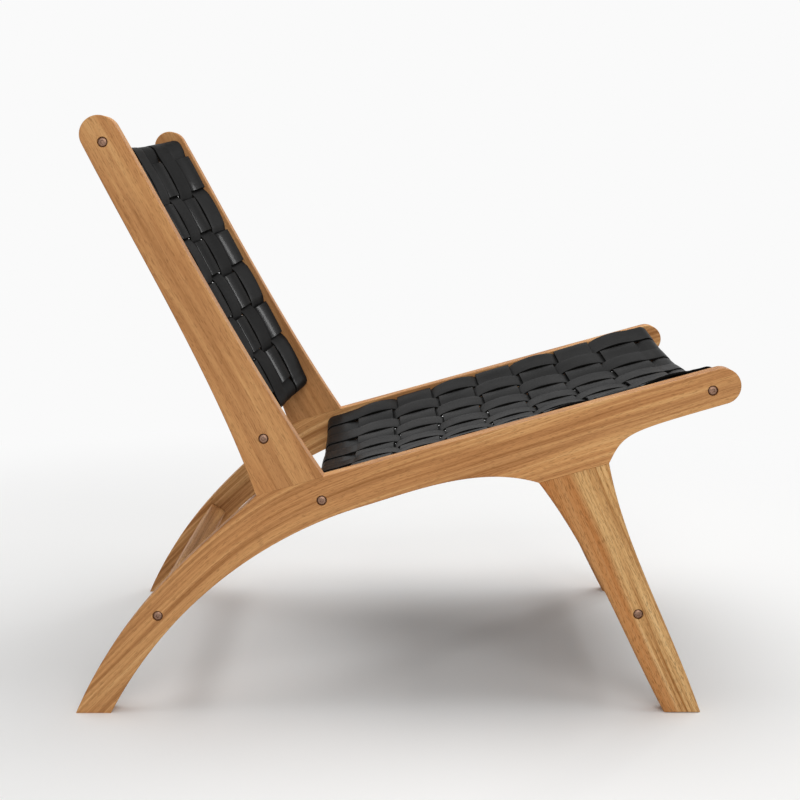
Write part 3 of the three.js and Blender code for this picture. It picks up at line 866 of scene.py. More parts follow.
@dataclass
class BoltSet:
    """The domed bolts, each with the threaded sleeve that it screws into."""

    plan: ChairPlan
    head_radius: float = 5.8
    head_height: float = 3.6
    rim_height: float = 1.2
    rim_chamfer: float = 0.3
    dome_steps: int = 9
    dome_fullness: float = 0.8
    shank_radius: float = 3.5
    tip_length: float = 10.0
    recess_depth: float = 4.2
    recess_gap: float = 0.6
    mouth_chamfer: float = 0.3
    socket_radius: float = 2.7
    socket_depth: float = 2.0
    sleeve_radius: float = 5.5
    sleeve_length: float = 18.0
    sleeve_depth: float = 1.0
    facets: int = 48
    smooth_angle: float = 28.0

    @property
    def places(self) -> dict[str, Point]:
        """The bolts' places in the side view."""
        plan = self.plan
        return {
            "top_back": plan.top_back,
            "lower_back": plan.lower_back,
            "seat_rear": plan.seat_rear,
            "seat_front": plan.seat_front,
            "front_stretcher": plan.front_stretcher,
            "rear_stretcher": plan.rear_stretcher,
        }

    def _stem(self, clearance: float) -> list[Point]:
        """The profile from the tip to the seat of the head.

        Args:
            clearance: Added all round, for a hole.

        Returns:
            Radius and height of each corner.
        """
        sleeve_start = clearance - self.plan.board_thickness - self.sleeve_depth
        sleeve_end = sleeve_start - self.sleeve_length - 2 * clearance
        tip = sleeve_end - self.tip_length - clearance
        shank = self.shank_radius + clearance
        sleeve = self.sleeve_radius + clearance
        return [
            (0.0, tip), (shank, tip), (shank, sleeve_end), (sleeve, sleeve_end),
            (sleeve, sleeve_start), (shank, sleeve_start),
        ]

    def _placed(self, piece: bpy.types.Object, place: str, side: Side) -> bpy.types.Object:
        """Moves a turned body to its place.

        Args:
            piece: The body, with y = 0 on the outer face and its head towards +Y.
            place: Which bolt it is.
            side: Which side of the chair.

        Returns:
            The body.
        """
        x, z = self.plan.metres(self.places[place])
        y = side.sign * (self.plan.inner_width / 2 + self.plan.board_thickness) * MM
        turn = Matrix.Rotation(math.pi if side is Side.RIGHT else 0.0, 4, "Z")
        piece.data.transform(Matrix.Translation((x, y, z)) @ turn)
        return piece

    def hole(self, place: str, side: Side) -> bpy.types.Object:
        """The body that is cut out of the wood for one bolt.

        Args:
            place: Which bolt it is.
            side: Which side of the chair.

        Returns:
            The cutter, with a chamfered mouth.
        """
        wide = self.head_radius + self.recess_gap
        mouth = self.mouth_chamfer
        profile = self._stem(self.plan.fit_gap) + [
            (self.shank_radius + self.plan.fit_gap, -self.recess_depth),
            (wide, -self.recess_depth),
            (wide, -mouth),
            (wide + 2 * mouth, mouth),
            (0.0, mouth),
        ]
        return self._placed(turned(f"hole_{place}", profile, self.facets), place, side)

    def bolt(self, place: str, side: Side) -> bpy.types.Object:
        """One bolt with its hexagon socket.

        Args:
            place: Which bolt it is.
            side: Which side of the chair.

        Returns:
            The bolt.
        """
        seat = self.plan.fit_gap - self.recess_depth
        dome = []
        for step in range(self.dome_steps):
            angle = math.radians(90.0 * step / self.dome_steps)
            rise = (self.head_height - self.rim_height) * math.sin(angle)
            reach = self.head_radius * math.cos(angle) ** self.dome_fullness
            dome.append((reach, seat + self.rim_height + rise))
        top = seat + self.head_height
        profile = self._stem(0.0) + [
            (self.shank_radius, seat),
            (self.head_radius - self.rim_chamfer, seat),
            (self.head_radius, seat + self.rim_chamfer),
            *dome,
            (0.0, top),
        ]
        piece = turned(f"bolt_{place}_{side.value}_head", profile, self.facets)
        bpy.ops.mesh.primitive_cylinder_add(
            vertices=6, radius=self.socket_radius * MM, depth=2 * self.socket_depth * MM,
            location=(0.0, top * MM, 0.0), rotation=(math.pi / 2, 0.0, 0.0),
        )
        socket = bpy.context.object
        bpy.ops.object.transform_apply(location=True, rotation=True, scale=True)
        cut(piece, [socket])
        self._placed(piece, place, side)
        smooth(piece, self.smooth_angle)
        return piece

    def build(self, finish: BronzeFinish) -> None:
        """Makes all the bolts.

        Args:
            finish: Their finish.
        """
        material = finish.material()
        for side in Side:
            for place in self.places:
                hand_over(self.bolt(place, side), material, "bolt_bronze", f"bolt_{place}_{side.value}")


@dataclass
class SideFrame:
    """One side frame: the rail with its rear leg, the back post and the front leg."""

    plan: ChairPlan
    bolts: BoltSet
    side: Side
    rail_top_rise: float = 28.0
    rail_edge_round: float = 1.5
    waist_along: float = 44.6
    waist_drop: float = 21.1
    leg_edge_round: float = 6.0
    rounding_steps: int = 5
    post_base_along: float = -33.0
    post_base_width: float = 86.0
    post_nose_radius: float = 23.3
    post_nose_reach: float = 10.0
    leg_joint_along: float = 308.0
    leg_joint_drop: float = 52.0
    leg_joint_width: float = 90.0
    front_foot_x: float = 338.0
    front_foot_width: float = 46.0
    foot_rounding: float = 0.35
    joint_rounding: float = 0.04
    joint_gap: float = 0.05
    rear_leg_back: Handles = ((59.0, 135.0), (-78.0, -73.0), 60)
    rear_leg_front: Handles = ((-103.7, -31.5), (81.1, 153.1), 70)
    under_nose: Handles = ((-123.8, -36.1), (17.9, 38.0), 48)
    under_seat: Handles = ((-73.5, 22.0), (66.8, 20.3), 40)
    rail_top_parts: int = 80
    post_front: Handles = ((-96.2, 141.6), (41.5, -73.7), 60)
    post_back: Handles = ((63.5, -127.0), (-49.0, 143.3), 60)
    front_leg_back: Handles = ((67.6, -87.3), (-51.3, 96.5), 48)
    front_leg_front: Handles = ((-43.0, 118.0), (21.0, -104.0), 48)

    def _joint(self, along: float, width: float, above: float) -> tuple[Point, Point]:
        """The rear and front corners of a joint face, from its middle and height on the seat line."""
        half = width / 2
        return self.plan.on_seat_axis(along - half, above), self.plan.on_seat_axis(along + half, above)

    def _post_base(self, gap: float) -> tuple[Point, Point]:
        """The corners of the post's base, raised by a gap."""
        return self._joint(self.post_base_along, self.post_base_width, self.rail_top_rise + gap)

    def _leg_top(self, gap: float) -> tuple[Point, Point]:
        """The corners of the front leg's top, lowered by a gap."""
        return self._joint(self.leg_joint_along, self.leg_joint_width, -self.leg_joint_drop - gap)

    def rail_outline(self) -> Outline:
        """Draws the side rail and its rear leg.

        Returns:
            The outline.
        """
        plan = self.plan
        half_foot = plan.rear_foot_width / 2
        foot_front = (plan.rear_foot_x + half_foot, 0.0)
        foot_back = (plan.rear_foot_x - half_foot, 0.0)
        post_rear, post_fore = self._post_base(0.0)
        leg_rear, leg_fore = self._leg_top(0.0)
        nose, radius, slope = plan.rail_nose, plan.rail_nose_radius, plan.seat_slope
        nose_top = polar(nose, radius, slope + 90.0)
        waist = plan.on_seat_axis(self.waist_along, -self.waist_drop)
        drawn = Outline()
        drawn.start(foot_front)
        drawn.line(foot_back, self.foot_rounding)
        drawn.curve(post_rear, *self.rear_leg_back)
        drawn.line(post_fore, self.joint_rounding)
        drawn.line(nose_top, 1.0, self.rail_top_parts)
        drawn.arc(nose, radius, slope + 90.0, slope - 90.0)
        drawn.curve(leg_fore, *self.under_nose)
        drawn.line(leg_rear, self.joint_rounding)
        drawn.curve(waist, *self.under_seat)
        drawn.curve(foot_front, *self.rear_leg_front)
        drawn.close()
        return drawn

    def post_outline(self) -> Outline:
        """Draws the back post.

        Returns:
            The outline.
        """
        plan = self.plan
        rear, front = self._post_base(self.joint_gap)
        slope, radius = -plan.back_slope, self.post_nose_radius
        nose = polar(plan.top_back, self.post_nose_reach, slope + 180.0)
        drawn = Outline()
        drawn.start(rear)
        drawn.line(front, self.joint_rounding)
        drawn.curve(polar(nose, radius, slope + 90.0), *self.post_front)
        drawn.arc(nose, radius, slope + 90.0, slope + 270.0)
        drawn.curve(rear, *self.post_back)
        drawn.close()
        return drawn

    def leg_outline(self) -> Outline:
        """Draws the front leg.

        Returns:
            The outline.
        """
        rear, front = self._leg_top(self.joint_gap)
        half_foot = self.front_foot_width / 2
        foot_back = (self.front_foot_x - half_foot, 0.0)
        foot_front = (self.front_foot_x + half_foot, 0.0)
        drawn = Outline()
        drawn.start(front)
        drawn.line(rear, self.joint_rounding)
        drawn.curve(foot_back, *self.front_leg_back)
        drawn.line(foot_front, self.foot_rounding)
        drawn.curve(front, *self.front_leg_front)
        drawn.close()
        return drawn

    def _board(self, name: str, drawn: Outline, edge_round: float) -> bpy.types.Object:
        """Cuts a board to an outline and rounds its edges.

        Args:
            name: Name of the piece.
            drawn: The outline.
            edge_round: Full radius of the rounded edges.

        Returns:
            The board, in place.
        """
        plan = self.plan
        corners = [plan.metres(point) for point in drawn.points]
        half = plan.board_thickness / 2
        near = self.side.sign * (plan.inner_width / 2 + half) - half
        bpy.ops.mesh.primitive_circle_add(vertices=len(corners), fill_type="NGON", location=(0.0, 0.0, 0.0))
        piece = named(bpy.context.object, name)
        for vertex, (x, z) in zip(piece.data.vertices, corners):
            vertex.co = (x, near * MM, z)
        with editing(piece):
            thickness = {"value": (0.0, plan.board_thickness * MM, 0.0)}
            bpy.ops.mesh.extrude_region_move(TRANSFORM_OT_translate=thickness)
            close_up()
        self._mark_rounding(piece, corners, drawn.rounding)
        apply(
            piece, "BEVEL", limit_method="WEIGHT", width=edge_round * MM, segments=self.rounding_steps,
            use_clamp_overlap=False,
        )
        return piece

    @staticmethod
    def _mark_rounding(piece: bpy.types.Object, corners: Sequence[Point], rounding: Sequence[float]) -> None:
        """Marks on each long edge of a board how far it is rounded.

        Args:
            piece: The board.
            corners: The outline's points in metres.
            rounding: Share of the rounding of the edge after each point.
        """
        shares = {}
        for index, share in enumerate(rounding):
            first, second = corners[index], corners[(index + 1) % len(corners)]
            middle = ((first[0] + second[0]) / 2, (first[1] + second[1]) / 2)
            shares[(round(middle[0], 5), round(middle[1], 5))] = share
        mesh = bmesh.new()
        mesh.from_mesh(piece.data)
        weight = mesh.edges.layers.float.new("bevel_weight_edge")
        for edge in mesh.edges:
            first, second = edge.verts[0].co, edge.verts[1].co
            if abs(first.y - second.y) < 1e-6:
                middle = (first + second) / 2
                edge[weight] = shares.get((round(middle.x, 5), round(middle.z, 5)), 1.0)
        mesh.to_mesh(piece.data)
        mesh.free()

    def build(self, finishes: Mapping[str, WoodFinish]) -> None:
        """Makes the three boards.

        Args:
            finishes: The finish of each board.
        """
        rail_holes = ("seat_rear", "seat_front", "rear_stretcher")
        boards = {
            "side_rail": (self.rail_outline(), self.rail_edge_round, rail_holes),
            "back_post": (self.post_outline(), self.rail_edge_round, ("top_back", "lower_back")),
            "front_leg": (self.leg_outline(), self.leg_edge_round, ("front_stretcher",)),
        }
        for board, (drawn, edge_round, holes) in boards.items():
            node = f"{board}_{self.side.value}"
            piece = self._board(f"{node}_board", drawn, edge_round)
            cut(piece, [self.bolts.hole(place, self.side) for place in holes])
            smooth(piece)
            slot = "golden_teak" if board == "front_leg" else "teak"
            hand_over(piece, finishes[board].material(), slot, node)


def bar(name: str, size: Spot, round_: float, parts: int = 1, front_round: float = 0.0) -> bpy.types.Object:
    """A bar across the chair with rounded long edges, centred on the origin.

    Args:
        name: Name of the piece.
        size: Its sizes along X, Y and Z in millimetres.
        round_: Radius of the long edges.
        parts: How many parts its length has.
        front_round: Radius of its upper front edge where that is larger.

    Returns:
        The bar.
    """
    depth, length, height = (side * MM for side in size)
    nearly_half = 0.499

    def is_long(first: Vector, second: Vector) -> bool:
        """Whether an edge runs along the bar."""
        return abs(first.y - second.y) > 0.5 * length

    def is_upper_front(first: Vector, second: Vector) -> bool:
        """Whether an edge is the square one at the top of the front."""
        return is_long(first, second) and min(first.x / depth, first.z / height) > nearly_half

    bpy.ops.mesh.primitive_cube_add(size=1.0, location=(0.0, 0.0, 0.0))
    piece = named(bpy.context.object, name)
    with editing(piece):
        bpy.ops.transform.resize(value=(depth, length, height))
        pick_edges(piece, lambda first, second: is_long(first, second) and min(first.x, first.z) < 0.0)
        bpy.ops.mesh.bevel(offset=round_ * MM, segments=6, affect="EDGES")
        pick_edges(piece, is_upper_front)
        bpy.ops.mesh.bevel(offset=max(front_round, round_) * MM, segments=8, affect="EDGES")
        if parts > 1:
            pick_edges(piece, is_long)
            bpy.ops.mesh.subdivide(number_cuts=parts - 1)
    return piece


@dataclass
class Stretcher:
    """A straight bar between two legs."""

    plan: ChairPlan
    bolts: BoltSet
    place: str
    tilt: float
    width: float = 26.0
    height: float = 36.0
    edge_round: float = 4.0

    def build(self, finish: WoodFinish) -> None:
        """Makes the bar.

        Args:
            finish: Its finish.
        """
        length = self.plan.inner_width - 2 * self.plan.fit_gap
        piece = bar(f"{self.place}_bar", (self.width, length, self.height), self.edge_round)
        x, z = self.plan.metres(self.bolts.places[self.place])
        turn = Matrix.Rotation(math.radians(self.tilt), 4, "Y")
        piece.data.transform(Matrix.Translation((x, 0.0, z)) @ turn)
        cut(piece, [self.bolts.hole(self.place, side) for side in Side])
        smooth(piece)
        hand_over(piece, finish.material(), "teak", self.place)


def evenly(points: np.ndarray, step: float) -> np.ndarray:
    """Places points evenly along a path.

    Args:
        points: The path's points, one a row.
        step: The wanted distance between points.

    Returns:
        The new points.
    """
    lengths = np.concatenate([[0.0], np.cumsum(np.linalg.norm(np.diff(points, axis=0), axis=1))])
    count = max(2, round(lengths[-1] / step))
    places = np.linspace(0.0, lengths[-1], count + 1)
    return np.column_stack([np.interp(places, lengths, points[:, axis]) for axis in range(points.shape[1])])


def eased(points: np.ndarray, passes: int) -> np.ndarray:
    """Rounds off the corners of a path with its ends kept.

    Args:
        points: Evenly placed points.
        passes: How often each point moves towards its neighbours.

    Returns:
        The rounded path.
    """
    path = points.copy()
    for _ in range(passes):
        path[1:-1] = (path[:-2] + 2.0 * path[1:-1] + path[2:]) / 4.0
    return path


@dataclass
class WovenPanel:
    """A seat or back: two bowed rails and a plain weave of flat leather straps.

    Its own x runs from the start rail to the end rail, y across and z to the face. What isn't plain
    from its name:

    Attributes:
        start_clear: Room between the start rail and the first cross strap.
        end_clear: Room between the last cross strap and the end rail.
        start_sag: Depth of the dish at the start rail.
        end_sag: Depth of the dish at the end rail.
        starts_over: Whether the first long strap runs over the first cross strap.
        softness: How far the long straps round off their path.
        over_reach: How far a strap stays up or down past the edges of one that it crosses.
        over_lift: How far a strap lies above the dish where it runs over.
        under_drop: How far it lies below the dish where it runs under.
        ledge: How much wider the start rail is than the end rail.
        solid_strap: Room that a strap takes up round the battens.
        wrap_lift: How much higher a strap leaves its rail where it then runs over.
        lead: Distance and height of the point between a rail and the weave.
        camber: How far a strap's edges lie below its middle.
    """

    plan: ChairPlan
    bolts: BoltSet
    label: str
    origin: Point
    turn: float
    length: float
    cross_count: int
    start_clear: float
    end_clear: float
    start_sag: float
    end_sag: float
    starts_over: bool
    rails: tuple[str, str]
    rail_bolts: tuple[str, str]
    softness: int
    over_reach: float
    long_arch: float
    cross_arch: float
    over_lift: float
    under_drop: float
    ledge: float = 0.0
    rail_depth: float = 24.0
    rail_height: float = 34.0
    rail_round: float = 8.0
    rail_parts: int = 40
    ledge_round: float = 15.0
    batten_width: float = 18.0
    batten_height: float = 22.0
    batten_round: float = 4.0
    batten_tenon: Spot = (4.5, 9.0, 11.0)
    long_count: int = 9
    long_margin: float = 6.5
    long_space: float = 3.0
    cross_space: float = 9.8
    side_gap: float = 1.5
    solid_strap: float = 3.3
    thickness: float = 3.0
    wrap_lift: float = 1.4
    lead: Point = (3.0, 2.2)
    camber: float = 0.5
    under_sag: float = 0.3
    crossing_points: int = 13
    cross_softness: int = 20
    bend_start: float = 80.0
    bend_margin: float = 6.0
    edge_round: float = 0.7
    sharp_angle: float = 60.0
    smooth_angle: float = 50.0
    fine_step: float = 0.5
    grid_step: float = 2.2
    grid_columns: int = 6

    @property
    def half_inner(self) -> float:
        """Half the clear width between the side frames."""
        return self.plan.inner_width / 2

    @property
    def start_inner(self) -> float:
        """Inner face of the start rail."""
        return self.rail_depth / 2 + self.ledge

    @property
    def end_inner(self) -> float:
        """Inner face of the end rail."""
        return self.length - self.rail_depth / 2

    @property
    def long_pitch(self) -> float:
        """Distance from one long strap to the next."""
        return (self.plan.inner_width - 2 * self.long_margin) / self.long_count

    @property
    def cross_pitch(self) -> float:
        """Distance from one cross strap to the next."""
        woven = self.length - self.rail_depth - self.start_clear - self.end_clear
        return (woven + self.cross_space) / self.cross_count

    @property
    def long_width(self) -> float:
        """Width of a long strap."""
        return self.long_pitch - self.long_space

    @property
    def cross_width(self) -> float:
        """Width of a cross strap."""
        return self.cross_pitch - self.cross_space

    @property
    def lie(self) -> float:
        """Height of a strap's middle over the rail that it lies on."""
        return self.plan.fit_gap + self.thickness / 2 + self.camber

    @property
    def batten_outer(self) -> float:
        """Outer face of the side battens."""
        return self.half_inner - self.side_gap - self.solid_strap - self.plan.fit_gap

    @property
    def batten_top(self) -> float:
        """The top face of the side battens.

        Returns:
            Its height, which is just under the lowest cross strap.
        """
        last = self.long_pitch * self.long_count / 2
        first = last - self.long_pitch
        share = (self.batten_outer - self.batten_width - first) / self.long_pitch
        dish = self._share(first) + (self._share(last) - self._share(first)) * share
        drop = max(self.start_sag, self.end_sag) * dish
        return (self.rail_height - self.solid_strap) / 2 - self.plan.fit_gap - drop

    def _share(self, y: float) -> float:
        """Share of the full dish at a distance from the middle."""
        return 1.0 - (y / self.half_inner) ** 2

    def dish(self, x: float, y: float) -> float:
        """Depth of the dish at a distance from the start rail and from the middle."""
        return (self.start_sag + (self.end_sag - self.start_sag) * x / self.length) * self._share(y)

    def long_is_over(self, cross: int, long: int) -> bool:
        """Whether a long strap runs over a cross strap."""
        return ((cross + long) % 2 == 0) == self.starts_over

    def long_middle(self, long: int) -> float:
        """Middle line of a long strap."""
        return (long - (self.long_count - 1) / 2) * self.long_pitch

    def cross_middle(self, cross: int) -> float:
        """Middle line of a cross strap."""
        first = self.rail_depth / 2 + self.start_clear + self.cross_width / 2
        return first + cross * self.cross_pitch

    def _to_chair(self) -> Matrix:
        """The panel's place in the chair."""
        x, z = self.plan.metres(self.origin)
        return Matrix.Translation((x, 0.0, z)) @ Matrix.Rotation(math.radians(self.turn), 4, "Y")

    def _weave(self, middles: Sequence[float], over: Sequence[bool], half: float, arch: float) -> list[Point]:
        """Height of a strap over the dish where it crosses the others.

        Args:
            middles: Middle lines of the straps that it crosses.
            over: Whether it runs over each of them.
            half: Half the width of these.
            arch: How far it arches where it runs over.

        Returns:
            Place and height of each point.
        """
        points = []
        for middle, is_over in zip(middles, over):
            for share in np.linspace(-1.0, 1.0, self.crossing_points):
                crown = 1.0 - share * share
                rise = self.over_lift + arch * crown if is_over else -self.under_drop - self.under_sag * crown
                points.append((middle + share * half, rise))
        return points

    def _rail_wrap(self, ledge: float, is_over: bool) -> list[Point]:
        """The path of a long strap round the start rail.

        Args:
            ledge: How far the rail reaches on under the strap.
            is_over: Whether the strap runs over the next cross strap and so lies a little higher.

        Returns:
            Points along x and z, from the underside to the top.
        """
        lift = self.wrap_lift if is_over else 0.0
        top = self.rail_height / 2
        flat = self.rail_depth / 2 - self.rail_round
        turn_height = top - self.rail_round
        radius = self.rail_round + self.lie
        wrap = [(flat, -top - self.lie)]
        wrap += corner((-flat, -turn_height), radius, 270.0, 180.0)
        wrap += corner((-flat, turn_height + lift), radius, 180.0, 90.0)
        if ledge > 0.0:
            flat = self.start_inner - self.ledge_round
        return wrap + [(flat, top + self.lie + lift)]

    def _softened(self, path: Sequence[Point], passes: int) -> np.ndarray:
        """A path with its corners rounded off, as points for the rows of a strap."""
        return evenly(eased(evenly(np.array(path), self.fine_step), passes), self.grid_step)

    def long_profile(self, long: int) -> np.ndarray:
        """The path of a long strap round one rail, through the weave and round the other.

        Args:
            long: Which strap.

        Returns:
            Points along x and z, before the dish is taken off.
        """
        middles = [self.cross_middle(cross) for cross in range(self.cross_count)]
        over = [self.long_is_over(cross, long) for cross in range(self.cross_count)]
        woven = self._weave(middles, over, self.cross_width / 2 + self.over_reach, self.long_arch)
        top = self.rail_height / 2 + self.lie
        reach, part = self.lead
        start = self._rail_wrap(self.ledge, over[0])
        start.append((woven[0][0] - reach, top + (part if over[0] else -part)))
        end = [(woven[-1][0] + reach, top + (part if over[-1] else -part))]
        end += [(self.length - x, z) for x, z in reversed(self._rail_wrap(0.0, over[-1]))]
        path = start + [(x, top + rise) for x, rise in woven] + end
        return self._softened(path, self.softness)

    def cross_profile(self, cross: int) -> np.ndarray:
        """The path of a cross strap round one batten, through the weave and round the other.

        Args:
            cross: Which strap.

        Returns:
            Points along y and z, with the dish taken off.
        """
        x = self.cross_middle(cross)
        middles = [self.long_middle(long) for long in range(self.long_count)]
        over = [not self.long_is_over(cross, long) for long in range(self.long_count)]
        woven = self._weave(middles, over, self.long_width / 2 + self.over_reach, self.cross_arch)
        top = self.rail_height / 2 + self.lie
        path = [(y, top + rise - self.dish(x, y)) for y, rise in woven]
        outer = self.batten_outer + self.lie
        low = self.batten_top - self.batten_height + self.batten_round
        inner = self.batten_outer - self.batten_width + self.batten_round
        reach = outer - path[-1][0]
        radius = self.batten_round + self.lie
        end = corner((outer - reach, path[-1][1] - reach), reach, self.bend_start, 0.0)
        end += corner((self.batten_outer - self.batten_round, low), radius, 0.0, -90.0)
        end.append((inner, low - radius))
        step = path[0][1] - path[-1][1]
        bend = low + self.bend_margin
        begin = [(-y, z + step if z > bend else z) for y, z in reversed(end)]
        return self._softened(begin + path + end, self.cross_softness)

    def _on_long(self, long: int, x: float, z: float, share: float) -> Vector:
        """A point of a long strap, from a point of its path and a share of half its width."""
        y = self.long_middle(long) + share * (self.long_width / 2)
        return Vector((x, y, z - self.dish(x, y) - self.camber * share**4))

    def _on_cross(self, cross: int, y: float, z: float, share: float) -> Vector:
        """A point of a cross strap.

        Args:
            cross: Which strap.
            y: First coordinate of its path.
            z: Second coordinate of its path.
            share: Distance from its middle line, as a share of half its width.

        Returns:
            The point in the panel.
        """
        middle = self.cross_middle(cross)
        x = middle - share * (self.cross_width / 2)
        lean = self.dish(x, y) - self.dish(middle, y)
        return Vector((x, y, z - lean - self.camber * share**4))

    def _strap(
        self, node: str, path: np.ndarray, place: Callable[[float, float, float], Vector]
    ) -> bpy.types.Object:
        """A strap of even thickness with rounded edges, laid on a path.

        Args:
            node: The solid that it stands for.
            path: Points of its middle line.
            place: Gives a point of the strap from a point of the path and a share of the width.

        Returns:
            The strap, in its place in the chair.
        """
        rows = len(path) - 1
        bpy.ops.mesh.primitive_grid_add(
            x_subdivisions=self.grid_columns, y_subdivisions=rows, size=2.0, calc_uvs=True,
            location=(0.0, 0.0, 0.0),
        )
        piece = named(bpy.context.object, f"{node}_leather")
        for vertex in piece.data.vertices:
            row = round((vertex.co.y + 1.0) / 2.0 * rows)
            vertex.co = place(*path[row], vertex.co.x) * MM
        piece.data.transform(self._to_chair())
        apply(piece, "SOLIDIFY", thickness=self.thickness * MM, offset=0.0, use_even_offset=True)
        with editing(piece):
            bpy.ops.mesh.normals_make_consistent(inside=False)
        apply(
            piece, "BEVEL", limit_method="ANGLE", angle_limit=math.radians(self.sharp_angle),
            width=self.edge_round * MM, segments=2, use_clamp_overlap=False,
        )
        smooth(piece, self.smooth_angle)
        return piece

    def build_straps(self, material: bpy.types.Material) -> None:
        """Weaves the straps.

        Args:
            material: The leather.
        """
        rails = [f"{rail}_bar" for rail in self.rails]
        battens = [f"{self.label}_batten_{side.value}" for side in Side]
        ways = (
            ("long", self.long_count, self.long_profile, self.long_width, self._on_long, rails),
            ("cross", self.cross_count, self.cross_profile, self.cross_width, self._on_cross, battens),
        )
        for way, count, profile, width, place, holders in ways:
            for index in range(count):
                path = profile(index)
                node = f"{self.label}_{way}_strap_{index + 1}"
                piece = self._strap(node, path, partial(place, index))
                hand_over(piece, material, "strap_leather", node)
                width * MM

    def _mortise(self, side: Side) -> bpy.types.Object:
        """The body that is cut out of both rails for a batten's tenons.

        Args:
            side: Which side of the chair.

        Returns:
            The cutter, in the panel's own frame.
        """
        reach, width, height = self.batten_tenon
        gap = self.plan.fit_gap
        bpy.ops.mesh.primitive_cube_add(size=1.0, location=(0.0, 0.0, 0.0))
        cutter = bpy.context.object
        size = (self.end_inner - self.start_inner + 2 * reach, width + 2 * gap, height + 2 * gap)
        centre = (
            (self.start_inner + self.end_inner) / 2,
            side.sign * (self.batten_outer - self.batten_width / 2),
            self.batten_top - self.batten_height / 2,
        )
        cutter.data.transform(Matrix.Diagonal((size[0] * MM, size[1] * MM, size[2] * MM, 1.0)))
        cutter.data.transform(Matrix.Translation(Vector(centre) * MM))
        return cutter

    def build_rails(self, finish: WoodFinish) -> None:
        """Makes the two bowed rails, and dresses the battens in the same finish.

        Args:
            finish: Their finish.
        """
        material = finish.material()
        length = self.plan.inner_width - 2 * self.plan.fit_gap
        for rail, place, x, ledge in zip(self.rails, self.rail_bolts, (0.0, self.length), (self.ledge, 0.0)):
            inner_round = self.ledge_round if ledge > 0.0 else self.rail_round
            size = (self.rail_depth + ledge, length, self.rail_height)
            piece = bar(f"{rail}_bar", size, self.rail_round, self.rail_parts, inner_round)
            piece.data.transform(Matrix.Translation(((x + ledge / 2) * MM, 0.0, 0.0)))
            for vertex in piece.data.vertices:
                vertex.co.z -= self.dish(vertex.co.x / MM, vertex.co.y / MM) * MM
            cut(piece, [self._mortise(side) for side in Side])
            piece.data.transform(self._to_chair())
            cut(piece, [self.bolts.hole(place, side) for side in Side])
            smooth(piece)
            hand_over(piece, material, "teak", rail)
        for side in Side:
            batten = bpy.data.objects[f"{self.label}_batten_{side.value}"]
            batten.data.materials.clear()
            batten.data.materials.append(material)


@dataclass(frozen=True)
class Lamp:
    """A soft rectangular lamp, with its power in watts and its sizes in metres."""

    name: str
    power: float
    size: Point
    place: Spot
    aim: Spot

    def hang(self) -> None:
        """Hangs the lamp in its place and points it at its aim."""
        bpy.ops.object.light_add(type="AREA", location=self.place)
        lamp = bpy.context.object
        lamp.name = f"lamp_{self.name}"
        lamp.data.energy = self.power
        lamp.data.shape = "RECTANGLE"
        lamp.data.size, lamp.data.size_y = self.size
        lamp.rotation_euler = (Vector(self.aim) - Vector(self.place)).to_track_quat("-Z", "Y").to_euler()


